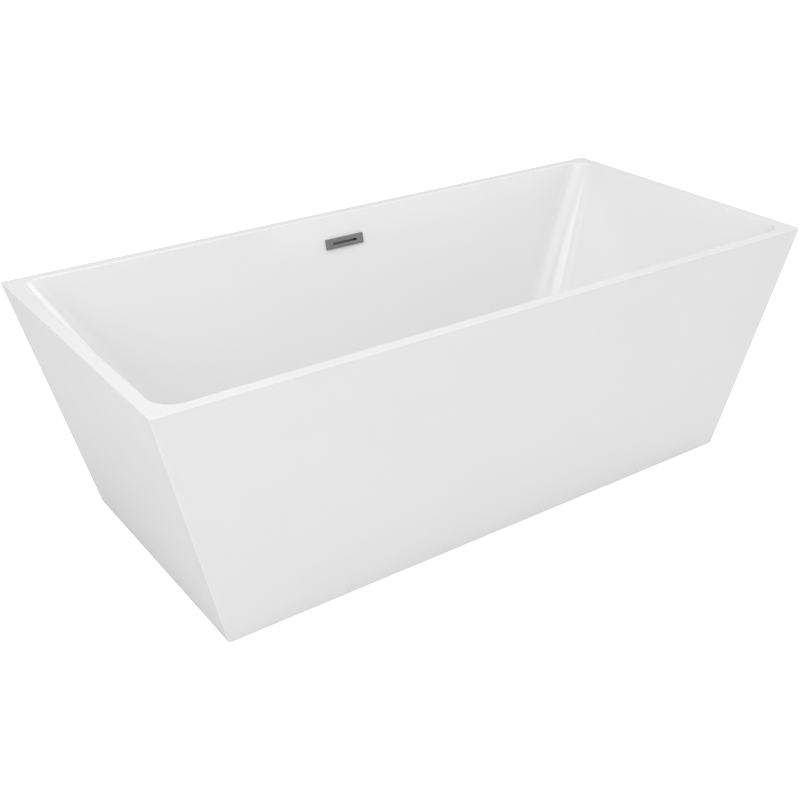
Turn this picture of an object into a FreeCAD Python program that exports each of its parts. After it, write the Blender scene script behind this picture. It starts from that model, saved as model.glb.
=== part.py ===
"""A freestanding rectangular acrylic bathtub, with its carrying frame, waste, trap and overflow.

Millimetres. +Z is up, X runs along the tub and Y across it. The origin is on the floor, under the
middle of the rim. The overflow is in the +Y wall and the drain is in the middle of the floor.
"""

import FreeCAD
import Part
import math
import os

V = FreeCAD.Vector
X_AXIS, Y_AXIS, Z_AXIS = V(1, 0, 0), V(0, 1, 0), V(0, 0, 1)

# ---------------------------------------------------------------- overall sizes
TUB_LENGTH = 1700.0          # over the rim
TUB_WIDTH = 750.0
TUB_HEIGHT = 575.0           # top of the rim above the floor
BASE_LENGTH = 1418.0         # over the skirt at its bottom edge
BASE_WIDTH = 642.0
SKIRT_GAP = 2.0              # the skirt's bottom edge stands this far off the floor

# ---------------------------------------------------------------- basin
RIM_END_WIDTH = 29.0         # flat rim at the two ends
RIM_SIDE_WIDTH = 26.0        # flat rim along the two sides
FLOOR_HEIGHT = 145.0         # inside of the tub's floor above the ground
END_LEAN = 28.0              # inner end walls, degrees from upright
SIDE_LEAN = 14.0             # inner side walls, degrees from upright
MOUTH_RADIUS = 48.0          # inner corner, in plan, at the rim
FLOOR_RADIUS = 100.0         # the same corner, at the floor
FLOOR_FILLET = 80.0          # between walls and floor
RIM_ROUNDING = 4.0           # inner edge of the rim
RIM_EDGE_ROUNDING = 1.5      # outer edge of the rim
ACRYLIC = 4.0                # sheet thickness of the basin
RIM_THICKNESS = 5.0
BASIN_LAMINATE = 3.0         # glass-fibre backing of the basin
DISH_RADIUS = 160.0          # the floor falls towards the drain inside this circle
DISH_DEPTH = 4.0

# ---------------------------------------------------------------- skirt
SKIRT_ACRYLIC = 4.0
SKIRT_LAMINATE = 2.0
SKIRT_EDGE_RADIUS = 4.0      # upright corners
SKIRT_INNER_RADIUS = 1.5
SKIRT_HEM_ROUNDING = 2.5     # outer bottom edge
SKIRT_FLANGE = 4.0           # thickness of the flange that is bonded under the rim
BOND_GAP = 2.0               # between that flange and the basin's backing
LAMINATE_HEM = 3.0           # the skirt's backing stops this far above its bottom edge

# ---------------------------------------------------------------- base board and crossbars
BOARD_THICKNESS = 15.0
BOARD_LENGTH = 1080.0
BOARD_WIDTH = 350.0
BOARD_CUTOUT_LENGTH = 170.0  # along X, round the waste
BOARD_CUTOUT_WIDTH = 250.0
BAR_SIZE = 25.0              # square tube
BAR_WALL = 2.0
BAR_LENGTH = 480.0
OUTER_BAR_X = 500.0
INNER_BAR_X = 170.0
BAR_SCREW_RADIUS = 2.25
BAR_SCREW_HEAD_RADIUS = 4.5
BAR_SCREW_HEAD = 3.0
BAR_SCREW_HEAD_EDGE = 1.0
BAR_SCREW_BITE = 11.0        # depth in the board
BAR_SCREW_INSET = 22.0       # from the board's long edges
BAR_SCREW_EDGE = 14.0        # from the board's cutout

# ---------------------------------------------------------------- battens and brackets
BATTEN_HEIGHT = 40.0
BATTEN_THICKNESS = 20.0
BATTEN_LIFT = 2.0            # above the skirt's bottom edge
BRACKET_WIDTH = 25.0
BRACKET_STEEL = 3.0
BRACKET_LAP = 22.0           # over the bar's end
BRACKET_LEG_LIFT = 4.0       # end of the leg above the batten's underside
SMALL_SCREW_RADIUS = 2.0
SMALL_SCREW_HEAD_RADIUS = 4.0
SMALL_SCREW_HEAD = 2.5
SMALL_SCREW_LENGTH = 13.0    # past the bracket, in a batten
SMALL_SCREW_THROUGH = 4.0    # past a bar's underside

# ---------------------------------------------------------------- levelling feet
PAD_RADIUS = 25.0
PAD_HEIGHT = 13.0
PAD_EDGE = 2.0
PAD_BAND = 4.5               # height of its upright edge
PAD_TOP_RADIUS = 13.0
STUD_RADIUS = 6.0
STUD_HEAD_RADIUS = 9.0
STUD_HEAD_HEIGHT = 4.0
STUD_HEAD_LIFT = 3.0         # underside of the head above the floor
STUD_HEX = 14.0              # across flats
STUD_HEX_HEIGHT = 8.0
STUD_HEX_GAP = 2.0           # between the pad and the hexagon
STUD_HOLE_CLEARANCE = 1.0    # radial, in the bar's wall
STUD_TOP_ROOM = 12.0         # free height left over the stud inside the bar
NUT_FLATS = 19.0
WELD_NUT_HEIGHT = 10.0
LOCK_NUT_HEIGHT = 6.0
SHAFT_CLEARANCE = 0.08       # radial, where one piece turns or slides in another
THREAD_CLEARANCE = 0.2       # radial, stud in its nuts
FOOT_BAR_INSET = 40.0        # outer feet from the ends of their bars

# ---------------------------------------------------------------- drain
RECESS_RADIUS = 42.0
RECESS_DEPTH = 2.5
FLANGE_RADIUS = 40.0
FLANGE_THICKNESS = 2.5
FLANGE_TUBE_RADIUS = 23.5
FLANGE_BORE_RADIUS = 20.5
FLANGE_TUBE_LENGTH = 30.0    # below the flange's underside
FLANGE_EDGE = 1.0            # bevel round its rim
FLANGE_SEAT = 3.0            # conical seat at the mouth of the bore
RIB_LIFT = 6.0               # underside of the cross ribs above the tube's lower end
RIB_WIDTH = 3.0
RIB_HEIGHT = 6.0
DRAIN_HOLE_CLEARANCE = 1.0
GASKET = 1.0
GASKET_INSET = 1.0           # from the flange's rim
WASTE_SEAL = 3.0
WASTE_SEAL_RADIUS = 40.0
WASTE_PLATE_RADIUS = 42.0
WASTE_PLATE = 4.0
WASTE_CUP_RADIUS = 29.0
WASTE_WALL = 3.0
WASTE_CUP_BOTTOM = 84.0      # height of the cup's underside
TAIL_RADIUS = 23.0           # threaded outlet of the waste body
TAIL_BORE_RADIUS = 18.0
TAIL_LENGTH = 16.0
BRANCH_HEIGHT = 98.0         # axis of the overflow branch
BRANCH_REACH = 68.0          # its open end from the drain's axis
BRANCH_SHOULDER = 2.0        # step that stops the hose
HUB_RADIUS = 7.5             # click cartridge
HUB_BORE_RADIUS = 5.5
HUB_LIP_RADIUS = 4.3
HUB_LIP = 3.0
HUB_LENGTH = 32.0
HUB_FLOOR = 2.0
HUB_RISE = 7.5               # top of the cartridge above the ribs
STEM_RADIUS = 4.0
STEM_HEAD_RADIUS = 5.2
STEM_HEAD = 4.0
PLUG_TRAVEL = 9.0
PLUG_RADIUS = 32.0
PLUG_LIP = 1.5
PLUG_LIP_HEIGHT = 2.6
PLUG_SHEET = 2.4
PLUG_CROWN = 1.6             # rise of the domed top
PLUG_CROWN_STEPS = 6
PLUG_EDGE = 1.2              # bevel round the top
PLUG_CLEARANCE = 0.4
PLUG_SEAL_RADIUS = 27.0
PLUG_SEAL_INNER = 23.0
PLUG_GUIDE_RADIUS = 21.0     # disc of the stem that carries the cap
PLUG_GUIDE = 2.0
SPRING_WIRE = 0.55           # wire radius
SPRING_TURNS = 5
SPRING_RADIUS = 4.3

# ---------------------------------------------------------------- trap
UNION_NUT_RADIUS = 29.0
UNION_NUT_BELOW = 5.0        # lip under the trap's collar
UNION_THREAD = 12.0          # length on the waste's tail
UNION_WASHER = 2.0
GRIP_GROOVES = 12            # round the union nut
GRIP_GROOVE_RADIUS = 2.5
GRIP_GROOVE_OUT = 1.0        # their axes outside the nut's surface
NECK_RADIUS = 20.0
NECK_BORE_RADIUS = 16.5
COLLAR_RADIUS = 22.5
COLLAR = 4.0
SWIVEL_GAP = 0.3
DRUM_HALF_WIDTH = 44.0
DRUM_FRONT = 82.0            # centre of the drum's front round from the drain's axis
DRUM_BOTTOM = 12.0
DRUM_TOP = 54.0
DRUM_WALL = 3.0
DIP_BOTTOM = 24.0            # open end of the dip tube
TOWER_BACK = 54.0            # rear face of the raised outlet chamber
TOWER_TOP = 116.0
OUTLET_HEIGHT = 88.0
OUTLET_RADIUS = 24.0
OUTLET_BORE_RADIUS = 20.15   # takes a 40 mm pipe
OUTLET_REACH = 168.0         # its open end from the drain's axis
OUTLET_SOCKET = 40.0         # depth of the pipe socket
OUTLET_STOP_RADIUS = 18.0
OUTLET_NUT_RADIUS = 29.0
OUTLET_NUT_LENGTH = 16.0
OUTLET_NUT_LIP = 3.0
OUTLET_SEAL = 4.0
CLEANOUT_RADIUS = 18.0
CLEANOUT_BORE_RADIUS = 14.0
CLEANOUT_HEIGHT = 33.0
CLEANOUT_REACH = 8.0
CAP_WALL = 3.0
CAP_SEAL = 1.5

# ---------------------------------------------------------------- overflow
OVERFLOW_DROP = 69.0         # centre of the plate below the rim
PLATE_LENGTH = 109.0
PLATE_HEIGHT = 26.0
PLATE_DEPTH = 5.0
PLATE_SHEET = 1.5
PLATE_EDGE = 0.6
SLOT_LENGTH = 74.0
SLOT_HEIGHT = 5.0
MOUTH_LENGTH = 84.0          # obround opening through the tub wall
MOUTH_HEIGHT = 18.0
CHASSIS_FLANGE = 1.6
CHASSIS_LAP = 2.0            # of the chassis flange round the opening
CHASSIS_WALL = 1.6
CHASSIS_CLEARANCE = 0.4
OVERFLOW_GASKET = 2.0
BODY_LENGTH = 112.0
BODY_HEIGHT = 40.0
BODY_DEPTH = 13.0
BODY_WALL = 1.6
FUNNEL_DROP = 60.0           # bottom of the funnel below the centre
FUNNEL_WIDTH = 26.0
BOSS_RADIUS = 12.0
BOSS_DROP = 74.0
SPIGOT_RADIUS = 10.0
SPIGOT_BORE_RADIUS = 8.0
SPIGOT_DROP = 100.0
SPIGOT_DEPTH = 22.0          # axis behind the inner face of the tub wall
OVERFLOW_SCREW_RADIUS = 1.75
OVERFLOW_SCREW_X = 38.5
OVERFLOW_SCREW_HEAD = 1.8
OVERFLOW_SCREW_HEAD_RADIUS = 3.5
OVERFLOW_SCREW_BITE = 4.0    # past the body's front wall
POST_RADIUS = 3.5
PASSAGE_LENGTH = 68.0        # way through the chassis, between the screws
HOSE_WALL = 2.5
HOSE_BEND = 80.0
HOSE_LAP = 22.0              # over each spigot
CLAMP_WIDTH = 9.0
CLAMP_BAND = 1.6

# ---------------------------------------------------------------- derived places
PAST = 1.0                   # a cutting shape runs this far past the faces it cuts
END_SLOPE = math.tan(math.radians(END_LEAN))
SIDE_SLOPE = math.tan(math.radians(SIDE_LEAN))
SKIRT_TOP = TUB_HEIGHT - RIM_THICKNESS
BASIN_BACK = ACRYLIC + BASIN_LAMINATE
SKIRT_BACK = SKIRT_ACRYLIC + SKIRT_LAMINATE
BOARD_TOP = FLOOR_HEIGHT - BASIN_BACK
BAR_TOP = BOARD_TOP - BOARD_THICKNESS
BAR_BOTTOM = BAR_TOP - BAR_SIZE
BARS = (-OUTER_BAR_X, -INNER_BAR_X, INNER_BAR_X, OUTER_BAR_X)
FOOT_Y = BAR_LENGTH / 2 - FOOT_BAR_INSET
FEET = ((-OUTER_BAR_X, -FOOT_Y), (-OUTER_BAR_X, FOOT_Y), (-INNER_BAR_X, 0.0),
        (INNER_BAR_X, 0.0), (OUTER_BAR_X, -FOOT_Y), (OUTER_BAR_X, FOOT_Y))
RECESS_FLOOR = FLOOR_HEIGHT - DISH_DEPTH - RECESS_DEPTH
FLANGE_UNDER = RECESS_FLOOR + GASKET
FLANGE_TOP = FLANGE_UNDER + FLANGE_THICKNESS
WASTE_TOP = RECESS_FLOOR - BASIN_BACK - WASTE_SEAL
TAIL_BOTTOM = WASTE_CUP_BOTTOM - TAIL_LENGTH
COLLAR_TOP = TAIL_BOTTOM - UNION_WASHER - SWIVEL_GAP
RIB_BOTTOM = FLANGE_UNDER - FLANGE_TUBE_LENGTH + RIB_LIFT
HUB_TOP = RIB_BOTTOM + RIB_HEIGHT + HUB_RISE
HUB_BOTTOM = HUB_TOP - HUB_LENGTH
HOSE_RADIUS = SPIGOT_RADIUS + HOSE_WALL
OVERFLOW_Y = TUB_WIDTH / 2 - RIM_SIDE_WIDTH - OVERFLOW_DROP * SIDE_SLOPE
OVERFLOW_Z = TUB_HEIGHT - OVERFLOW_DROP
WALL_UP = V(0, math.sin(math.radians(SIDE_LEAN)), math.cos(math.radians(SIDE_LEAN)))
WALL_OUT = V(0, WALL_UP.z, -WALL_UP.y)


# ---------------------------------------------------------------- plain shapes
def cylinder(radius, bottom, top, x=0.0, y=0.0):
    """Upright cylinder between two heights."""
    return Part.makeCylinder(radius, top - bottom, V(x, y, bottom))


def ring(outer, inner, bottom, top, x=0.0, y=0.0):
    """Upright ring between two heights."""
    return cylinder(outer, bottom, top, x, y).cut(cylinder(inner, bottom - PAST, top + PAST, x, y))


def block(x0, x1, y0, y1, z0, z1):
    return Part.makeBox(x1 - x0, y1 - y0, z1 - z0, V(x0, y0, z0))


def middle_block(length, width, z0, z1):
    """Block over the middle of the tub, between two heights."""
    return block(-length / 2, length / 2, -width / 2, width / 2, z0, z1)


def turned(points, x=0.0, y=0.0):
    """Solid of revolution about the upright axis at x, y, from (radius, height) corners."""
    corners = [V(r, 0, z) for r, z in points]
    face = Part.Face(Part.makePolygon(corners + corners[:1]))
    solid = face.revolve(V(0, 0, 0), Z_AXIS, 360)
    return solid.translated(V(x, y, 0))


def hexagon(flats, bottom, top, x=0.0, y=0.0):
    """Upright hexagonal bar."""
    reach = flats / math.sqrt(3)
    corners = [V(x + reach * math.cos(math.radians(60 * i)),
                 y + reach * math.sin(math.radians(60 * i)), bottom) for i in range(6)]
    face = Part.Face(Part.makePolygon(corners + corners[:1]))
    return face.extrude(V(0, 0, top - bottom))


def rounded_rectangle(half_x, half_y, radius, z):
    """Plan outline with round corners, as a wire at height z."""
    def on_corner(corner, degrees):
        sx, sy, start = corner
        a = math.radians(start + degrees)
        centre = V(sx * (half_x - radius), sy * (half_y - radius), z)
        return centre + V(radius * math.cos(a), radius * math.sin(a), 0)

    corners = ((1, 1, 0), (-1, 1, 90), (-1, -1, 180), (1, -1, 270))
    edges = []
    for corner, following in zip(corners, corners[1:] + corners[:1]):
        start, middle, end = (on_corner(corner, degrees) for degrees in (0, 45, 90))
        edges.append(Part.Arc(start, middle, end).toShape())
        edges.append(Part.LineSegment(end, on_corner(following, 0)).toShape())
    return Part.Wire(edges)


def obround(length, height, depth0, depth1):
    """Slot-shaped bar along local Z, lying along local X."""
    r, half = height / 2, (length - height) / 2
    wire = Part.Wire([
        Part.LineSegment(V(-half, -r, depth0), V(half, -r, depth0)).toShape(),
        Part.Arc(V(half, -r, depth0), V(half + r, 0, depth0), V(half, r, depth0)).toShape(),
        Part.LineSegment(V(half, r, depth0), V(-half, r, depth0)).toShape(),
        Part.Arc(V(-half, r, depth0), V(-half - r, 0, depth0), V(-half, -r, depth0)).toShape()])
    return Part.Face(wire).extrude(V(0, 0, depth1 - depth0))


def level_edges(shape, z, outside, box):
    """Edges that lie in the plane z, either outside or inside the plan box (half_x, half_y)."""
    found = []
    for edge in shape.Edges:
        bb = edge.BoundBox
        if abs(bb.ZMin - z) > 1e-3 or abs(bb.ZMax - z) > 1e-3:
            continue
        p = edge.valueAt((edge.FirstParameter + edge.LastParameter) / 2)
        beyond = abs(p.x) > box[0] or abs(p.y) > box[1]
        if beyond == outside:
            found.append(edge)
    return found


# ---------------------------------------------------------------- the two tapered forms
def skirt_half(z, inset):
    """Half length and half width of the skirt's form at height z, taken in by inset."""
    rise = TUB_HEIGHT - SKIRT_GAP
    slopes = ((TUB_LENGTH - BASE_LENGTH) / 2 / rise, (TUB_WIDTH - BASE_WIDTH) / 2 / rise)
    bases = (BASE_LENGTH / 2, BASE_WIDTH / 2)
    return [b + s * (z - SKIRT_GAP) - inset * math.hypot(1, s) for b, s in zip(bases, slopes)]


def skirt_form(inset, z0, z1):
    """The skirt's solid form between two heights, taken in by inset."""
    radius = max(SKIRT_EDGE_RADIUS - inset, SKIRT_INNER_RADIUS)
    wires = [rounded_rectangle(*skirt_half(z, inset), radius, z) for z in (z0, z1)]
    return Part.makeLoft(wires, True, True)


def basin_half(z, offset):
    """Half length and half width of the basin's inside at height z, grown by offset."""
    drop = TUB_HEIGHT - z
    return (TUB_LENGTH / 2 - RIM_END_WIDTH - drop * END_SLOPE + offset * math.hypot(1, END_SLOPE),
            TUB_WIDTH / 2 - RIM_SIDE_WIDTH - drop * SIDE_SLOPE + offset * math.hypot(1, SIDE_SLOPE))


def basin_form(offset, top):
    """The basin's inside up to the height top, grown outwards by offset, as a solid."""
    bottom = FLOOR_HEIGHT - offset
    wires = []
    for z in (bottom, top):
        share = (TUB_HEIGHT - z) / (TUB_HEIGHT - FLOOR_HEIGHT)
        radius = MOUTH_RADIUS + (FLOOR_RADIUS - MOUTH_RADIUS) * share + offset
        wires.append(rounded_rectangle(*basin_half(z, offset), radius, z))
    form = Part.makeLoft(wires, True, True)
    floor_edges = level_edges(form, bottom, False, (TUB_LENGTH, TUB_WIDTH))
    form = form.makeFillet(FLOOR_FILLET + offset, floor_edges)
    fall = DISH_DEPTH / (DISH_RADIUS - RECESS_RADIUS)
    over = DISH_DEPTH / 10
    dish_bottom = bottom - DISH_DEPTH
    dish = Part.makeCone(RECESS_RADIUS, DISH_RADIUS + over / fall, DISH_DEPTH + over,
                         V(0, 0, dish_bottom))
    recess = cylinder(RECESS_RADIUS + offset, dish_bottom - RECESS_DEPTH, bottom + over)
    return form.fuse([dish, recess]).removeSplitter()


# ---------------------------------------------------------------- placing things on the tub's rear wall
def on_wall(shape):
    """From wall axes (X along the tub, Y up the wall, Z out through it) to the overflow's place."""
    turn = FreeCAD.Rotation(-X_AXIS, WALL_UP, WALL_OUT, "XYZ")
    place = FreeCAD.Placement(V(0, OVERFLOW_Y, OVERFLOW_Z), turn)
    moved = shape.copy()
    moved.Placement = place.multiply(moved.Placement)
    return moved


# ---------------------------------------------------------------- shells
def make_shells():
    # the sheet's outside runs half way up into the rim, so that the two join
    outside = basin_form(ACRYLIC, TUB_HEIGHT - RIM_THICKNESS / 2)
    inside = basin_form(0.0, TUB_HEIGHT + RIM_THICKNESS)
    rim = skirt_form(0.0, SKIRT_TOP, TUB_HEIGHT)
    basin = rim.fuse(outside).cut(inside).removeSplitter()
    half = basin_half(TUB_HEIGHT, RIM_ROUNDING)
    basin = basin.makeFillet(RIM_ROUNDING, level_edges(basin, TUB_HEIGHT, False, half))
    basin = basin.makeFillet(RIM_EDGE_ROUNDING, level_edges(basin, TUB_HEIGHT, True, half))

    backed = basin_form(BASIN_BACK, SKIRT_TOP)
    laminate = backed.cut(basin_form(ACRYLIC, TUB_HEIGHT))

    flange_under = SKIRT_TOP - SKIRT_FLANGE
    skirt = skirt_form(0.0, SKIRT_GAP, SKIRT_TOP)
    skirt = skirt.cut(skirt_form(SKIRT_ACRYLIC, SKIRT_GAP - PAST, flange_under))
    skirt = skirt.cut(basin_form(BASIN_BACK + BOND_GAP, TUB_HEIGHT))
    hem = skirt_half(SKIRT_GAP, SKIRT_ACRYLIC / 2)
    skirt = skirt.makeFillet(SKIRT_HEM_ROUNDING, level_edges(skirt, SKIRT_GAP, True, hem))
    skirt_back = skirt_form(SKIRT_ACRYLIC, SKIRT_GAP + LAMINATE_HEM, flange_under)
    skirt_back = skirt_back.cut(skirt_form(SKIRT_BACK, SKIRT_GAP, flange_under + PAST))

    hole_radius = FLANGE_TUBE_RADIUS + DRAIN_HOLE_CLEARANCE
    drain_hole = cylinder(hole_radius, RECESS_FLOOR - BASIN_BACK - PAST, FLOOR_HEIGHT)
    mouth = on_wall(obround(MOUTH_LENGTH, MOUTH_HEIGHT, -BASIN_BACK, 2 * BASIN_BACK))
    return {"basin": basin.cut(drain_hole).cut(mouth),
            "basin_laminate": laminate.cut(drain_hole).cut(mouth),
            "skirt": skirt,
            "skirt_laminate": skirt_back}


# ---------------------------------------------------------------- board, crossbars and their screws
def bar_screw_places():
    near = BOARD_CUTOUT_WIDTH / 2 + BAR_SCREW_EDGE
    far = BOARD_WIDTH / 2 - BAR_SCREW_INSET
    inner = near / 2
    return [(x, s * y) for x in BARS for y in (inner, far) for s in (-1, 1)]


def bar_screws():
    under = BAR_BOTTOM - BAR_SCREW_HEAD
    edge = BAR_SCREW_HEAD_EDGE
    profile = [(0, under), (BAR_SCREW_HEAD_RADIUS - edge, under), (BAR_SCREW_HEAD_RADIUS, under + edge),
               (BAR_SCREW_HEAD_RADIUS, BAR_BOTTOM), (BAR_SCREW_RADIUS, BAR_BOTTOM),
               (BAR_SCREW_RADIUS, BAR_TOP + BAR_SCREW_BITE), (0, BAR_TOP + BAR_SCREW_BITE)]
    return [turned(profile, x, y) for x, y in bar_screw_places()]


def make_carriage():
    screws = bar_screws()
    holes = Part.makeCompound([cylinder(BAR_SCREW_RADIUS, BAR_BOTTOM - PAST, BAR_TOP + BAR_SCREW_BITE, x, y)
                               for x, y in bar_screw_places()])
    board = middle_block(BOARD_LENGTH, BOARD_WIDTH, BAR_TOP, BOARD_TOP)
    cutout = middle_block(BOARD_CUTOUT_LENGTH, BOARD_CUTOUT_WIDTH, BAR_TOP - PAST, BOARD_TOP + PAST)
    board = board.cut(cutout).cut(basin_form(BASIN_BACK, TUB_HEIGHT)).cut(holes)
    parts = {"base_board": board, "bar_screws": Part.makeCompound(screws)}
    half, wall = BAR_SIZE / 2, BAR_WALL
    for number, x in enumerate(BARS, 1):
        bar = block(x - half, x + half, -BAR_LENGTH / 2, BAR_LENGTH / 2, BAR_BOTTOM, BAR_TOP)
        bar = bar.makeFillet(wall, [e for e in bar.Edges if abs(e.BoundBox.YLength - BAR_LENGTH) < 1e-3])
        inner = half - wall
        hollow = block(x - inner, x + inner, -BAR_LENGTH, BAR_LENGTH, BAR_BOTTOM + wall, BAR_TOP - wall)
        bar = bar.cut(hollow).cut(holes)
        wall_holes = [(STUD_RADIUS + STUD_HOLE_CLEARANCE, foot_y) for foot_x, foot_y in FEET if foot_x == x]
        wall_holes += [(SMALL_SCREW_RADIUS, side * bracket_screw_y()) for side in (-1, 1)]
        for radius, y in wall_holes:
            bar = bar.cut(cylinder(radius, BAR_BOTTOM - PAST, BAR_BOTTOM + wall + PAST, x, y))
        parts[f"crossbar_{number}"] = bar
    return parts


# ---------------------------------------------------------------- battens, and brackets to the crossbars
def batten_inner():
    """Half length and half width of the space inside the battens."""
    return [h - BATTEN_THICKNESS for h in skirt_half(SKIRT_GAP + BATTEN_LIFT, SKIRT_BACK)]


def bracket_screw_y():
    return BAR_LENGTH / 2 - BRACKET_LAP / 2


def make_battens_and_brackets():
    low = SKIRT_GAP + max(BATTEN_LIFT, LAMINATE_HEM)
    high = low + BATTEN_HEIGHT
    inner_x, inner_y = batten_inner()
    inside = middle_block(2 * inner_x, 2 * inner_y, low - PAST, high + PAST)
    hoop = skirt_form(SKIRT_BACK, low, high).cut(inside)
    far = TUB_LENGTH
    screw_z = low + BATTEN_HEIGHT / 2
    brackets, into_bars, into_battens = [], [], []
    for x in BARS:
        for side in (-1, 1):
            ys = sorted((side * (BAR_LENGTH / 2 - BRACKET_LAP), side * inner_y))
            leg = sorted((side * (inner_y - BRACKET_STEEL), side * inner_y))
            w = BRACKET_WIDTH / 2
            under = BAR_BOTTOM - BRACKET_STEEL
            bracket = block(x - w, x + w, *ys, under, BAR_BOTTOM)
            bracket = bracket.fuse(block(x - w, x + w, *leg, low + BRACKET_LEG_LIFT, BAR_BOTTOM))
            y = side * bracket_screw_y()
            shank = cylinder(SMALL_SCREW_RADIUS, under, BAR_BOTTOM + SMALL_SCREW_THROUGH, x, y)
            head = cylinder(SMALL_SCREW_HEAD_RADIUS, under - SMALL_SCREW_HEAD, under, x, y)
            into_bars.append(shank.fuse(head))
            way = V(0, side, 0)
            seat = V(x, side * (inner_y - BRACKET_STEEL), screw_z)
            tip = seat - way * SMALL_SCREW_HEAD
            shank = Part.makeCylinder(SMALL_SCREW_RADIUS, SMALL_SCREW_LENGTH + BRACKET_STEEL, seat, way)
            head = Part.makeCylinder(SMALL_SCREW_HEAD_RADIUS, SMALL_SCREW_HEAD, tip, way)
            into_battens.append(shank.fuse(head))
            brackets.append(bracket.removeSplitter().cut(into_bars[-1]).cut(into_battens[-1]))
    hoop = hoop.cut(Part.makeCompound(into_battens))
    middle = middle_block(2 * inner_x, 2 * far, low - PAST, high + PAST)
    sides, ends = hoop.common(middle), hoop.cut(middle)
    return {"batten_front": sides.common(block(-far, far, -far, 0, 0, TUB_HEIGHT)),
            "batten_rear": sides.common(block(-far, far, 0, far, 0, TUB_HEIGHT)),
            "batten_left": ends.common(block(-far, 0, -far, far, 0, TUB_HEIGHT)),
            "batten_right": ends.common(block(0, far, -far, far, 0, TUB_HEIGHT)),
            "skirt_brackets": Part.makeCompound(brackets),
            "bracket_bar_screws": Part.makeCompound(into_bars),
            "bracket_batten_screws": Part.makeCompound(into_battens)}


# ---------------------------------------------------------------- levelling feet
def hexagon_nut(bottom, height, x, y):
    bore = cylinder(STUD_RADIUS + THREAD_CLEARANCE, bottom - PAST, bottom + height + PAST, x, y)
    return hexagon(NUT_FLATS, bottom, bottom + height, x, y).cut(bore)


def foot_pad(x, y):
    """Rubber pad with a pocket in which the stud's head turns."""
    low = STUD_HEAD_LIFT - SHAFT_CLEARANCE
    high = STUD_HEAD_LIFT + STUD_HEAD_HEIGHT + SHAFT_CLEARANCE
    pocket = STUD_HEAD_RADIUS + SHAFT_CLEARANCE
    neck = STUD_RADIUS + SHAFT_CLEARANCE
    return turned([(0, 0), (PAD_RADIUS - PAD_EDGE, 0), (PAD_RADIUS, PAD_EDGE), (PAD_RADIUS, PAD_BAND),
                   (PAD_TOP_RADIUS, PAD_HEIGHT), (neck, PAD_HEIGHT), (neck, high), (pocket, high),
                   (pocket, low), (0, low)], x, y)


def foot_stud(x, y):
    head_top = STUD_HEAD_LIFT + STUD_HEAD_HEIGHT
    hex_bottom = PAD_HEIGHT + STUD_HEX_GAP
    head = cylinder(STUD_HEAD_RADIUS, STUD_HEAD_LIFT, head_top, x, y)
    shank = cylinder(STUD_RADIUS, head_top, BAR_TOP - STUD_TOP_ROOM, x, y)
    grip = hexagon(STUD_HEX, hex_bottom, hex_bottom + STUD_HEX_HEIGHT, x, y)
    return head.fuse([shank, grip]).removeSplitter()


def make_feet():
    parts, weld_nuts, lock_nuts = {}, [], []
    weld_bottom = BAR_BOTTOM - WELD_NUT_HEIGHT
    for number, (x, y) in enumerate(FEET, 1):
        weld_nuts.append(hexagon_nut(weld_bottom, WELD_NUT_HEIGHT, x, y))
        lock_nuts.append(hexagon_nut(weld_bottom - LOCK_NUT_HEIGHT, LOCK_NUT_HEIGHT, x, y))
        parts[f"foot_pad_{number}"] = foot_pad(x, y)
        parts[f"foot_stud_{number}"] = foot_stud(x, y)
    parts["weld_nuts"] = Part.makeCompound(weld_nuts)
    parts["lock_nuts"] = Part.makeCompound(lock_nuts)
    return parts


# ---------------------------------------------------------------- drain flange, click plug and waste body
def make_flange():
    seat, edge = FLANGE_SEAT, FLANGE_EDGE
    tube_bottom = FLANGE_UNDER - FLANGE_TUBE_LENGTH
    flange = turned([(FLANGE_BORE_RADIUS, tube_bottom), (FLANGE_TUBE_RADIUS, tube_bottom),
                     (FLANGE_TUBE_RADIUS, FLANGE_UNDER), (FLANGE_RADIUS, FLANGE_UNDER),
                     (FLANGE_RADIUS, FLANGE_TOP - edge), (FLANGE_RADIUS - edge, FLANGE_TOP),
                     (FLANGE_BORE_RADIUS + seat, FLANGE_TOP), (FLANGE_BORE_RADIUS, FLANGE_TOP - seat)])
    reach = FLANGE_BORE_RADIUS + FLANGE_TUBE_RADIUS
    rib_top = RIB_BOTTOM + RIB_HEIGHT
    ribs = middle_block(reach, RIB_WIDTH, RIB_BOTTOM, rib_top)
    ribs = ribs.fuse(middle_block(RIB_WIDTH, reach, RIB_BOTTOM, rib_top))
    hub = cylinder(HUB_RADIUS + RIB_WIDTH, RIB_BOTTOM, rib_top)
    flange = flange.fuse([ribs, hub])
    flange = flange.cut(cylinder(HUB_RADIUS, RIB_BOTTOM - PAST, rib_top + PAST)).removeSplitter()
    gasket = ring(FLANGE_RADIUS - GASKET_INSET, FLANGE_TUBE_RADIUS, RECESS_FLOOR, FLANGE_UNDER)
    return {"drain_flange": flange, "drain_gasket": gasket}


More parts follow.
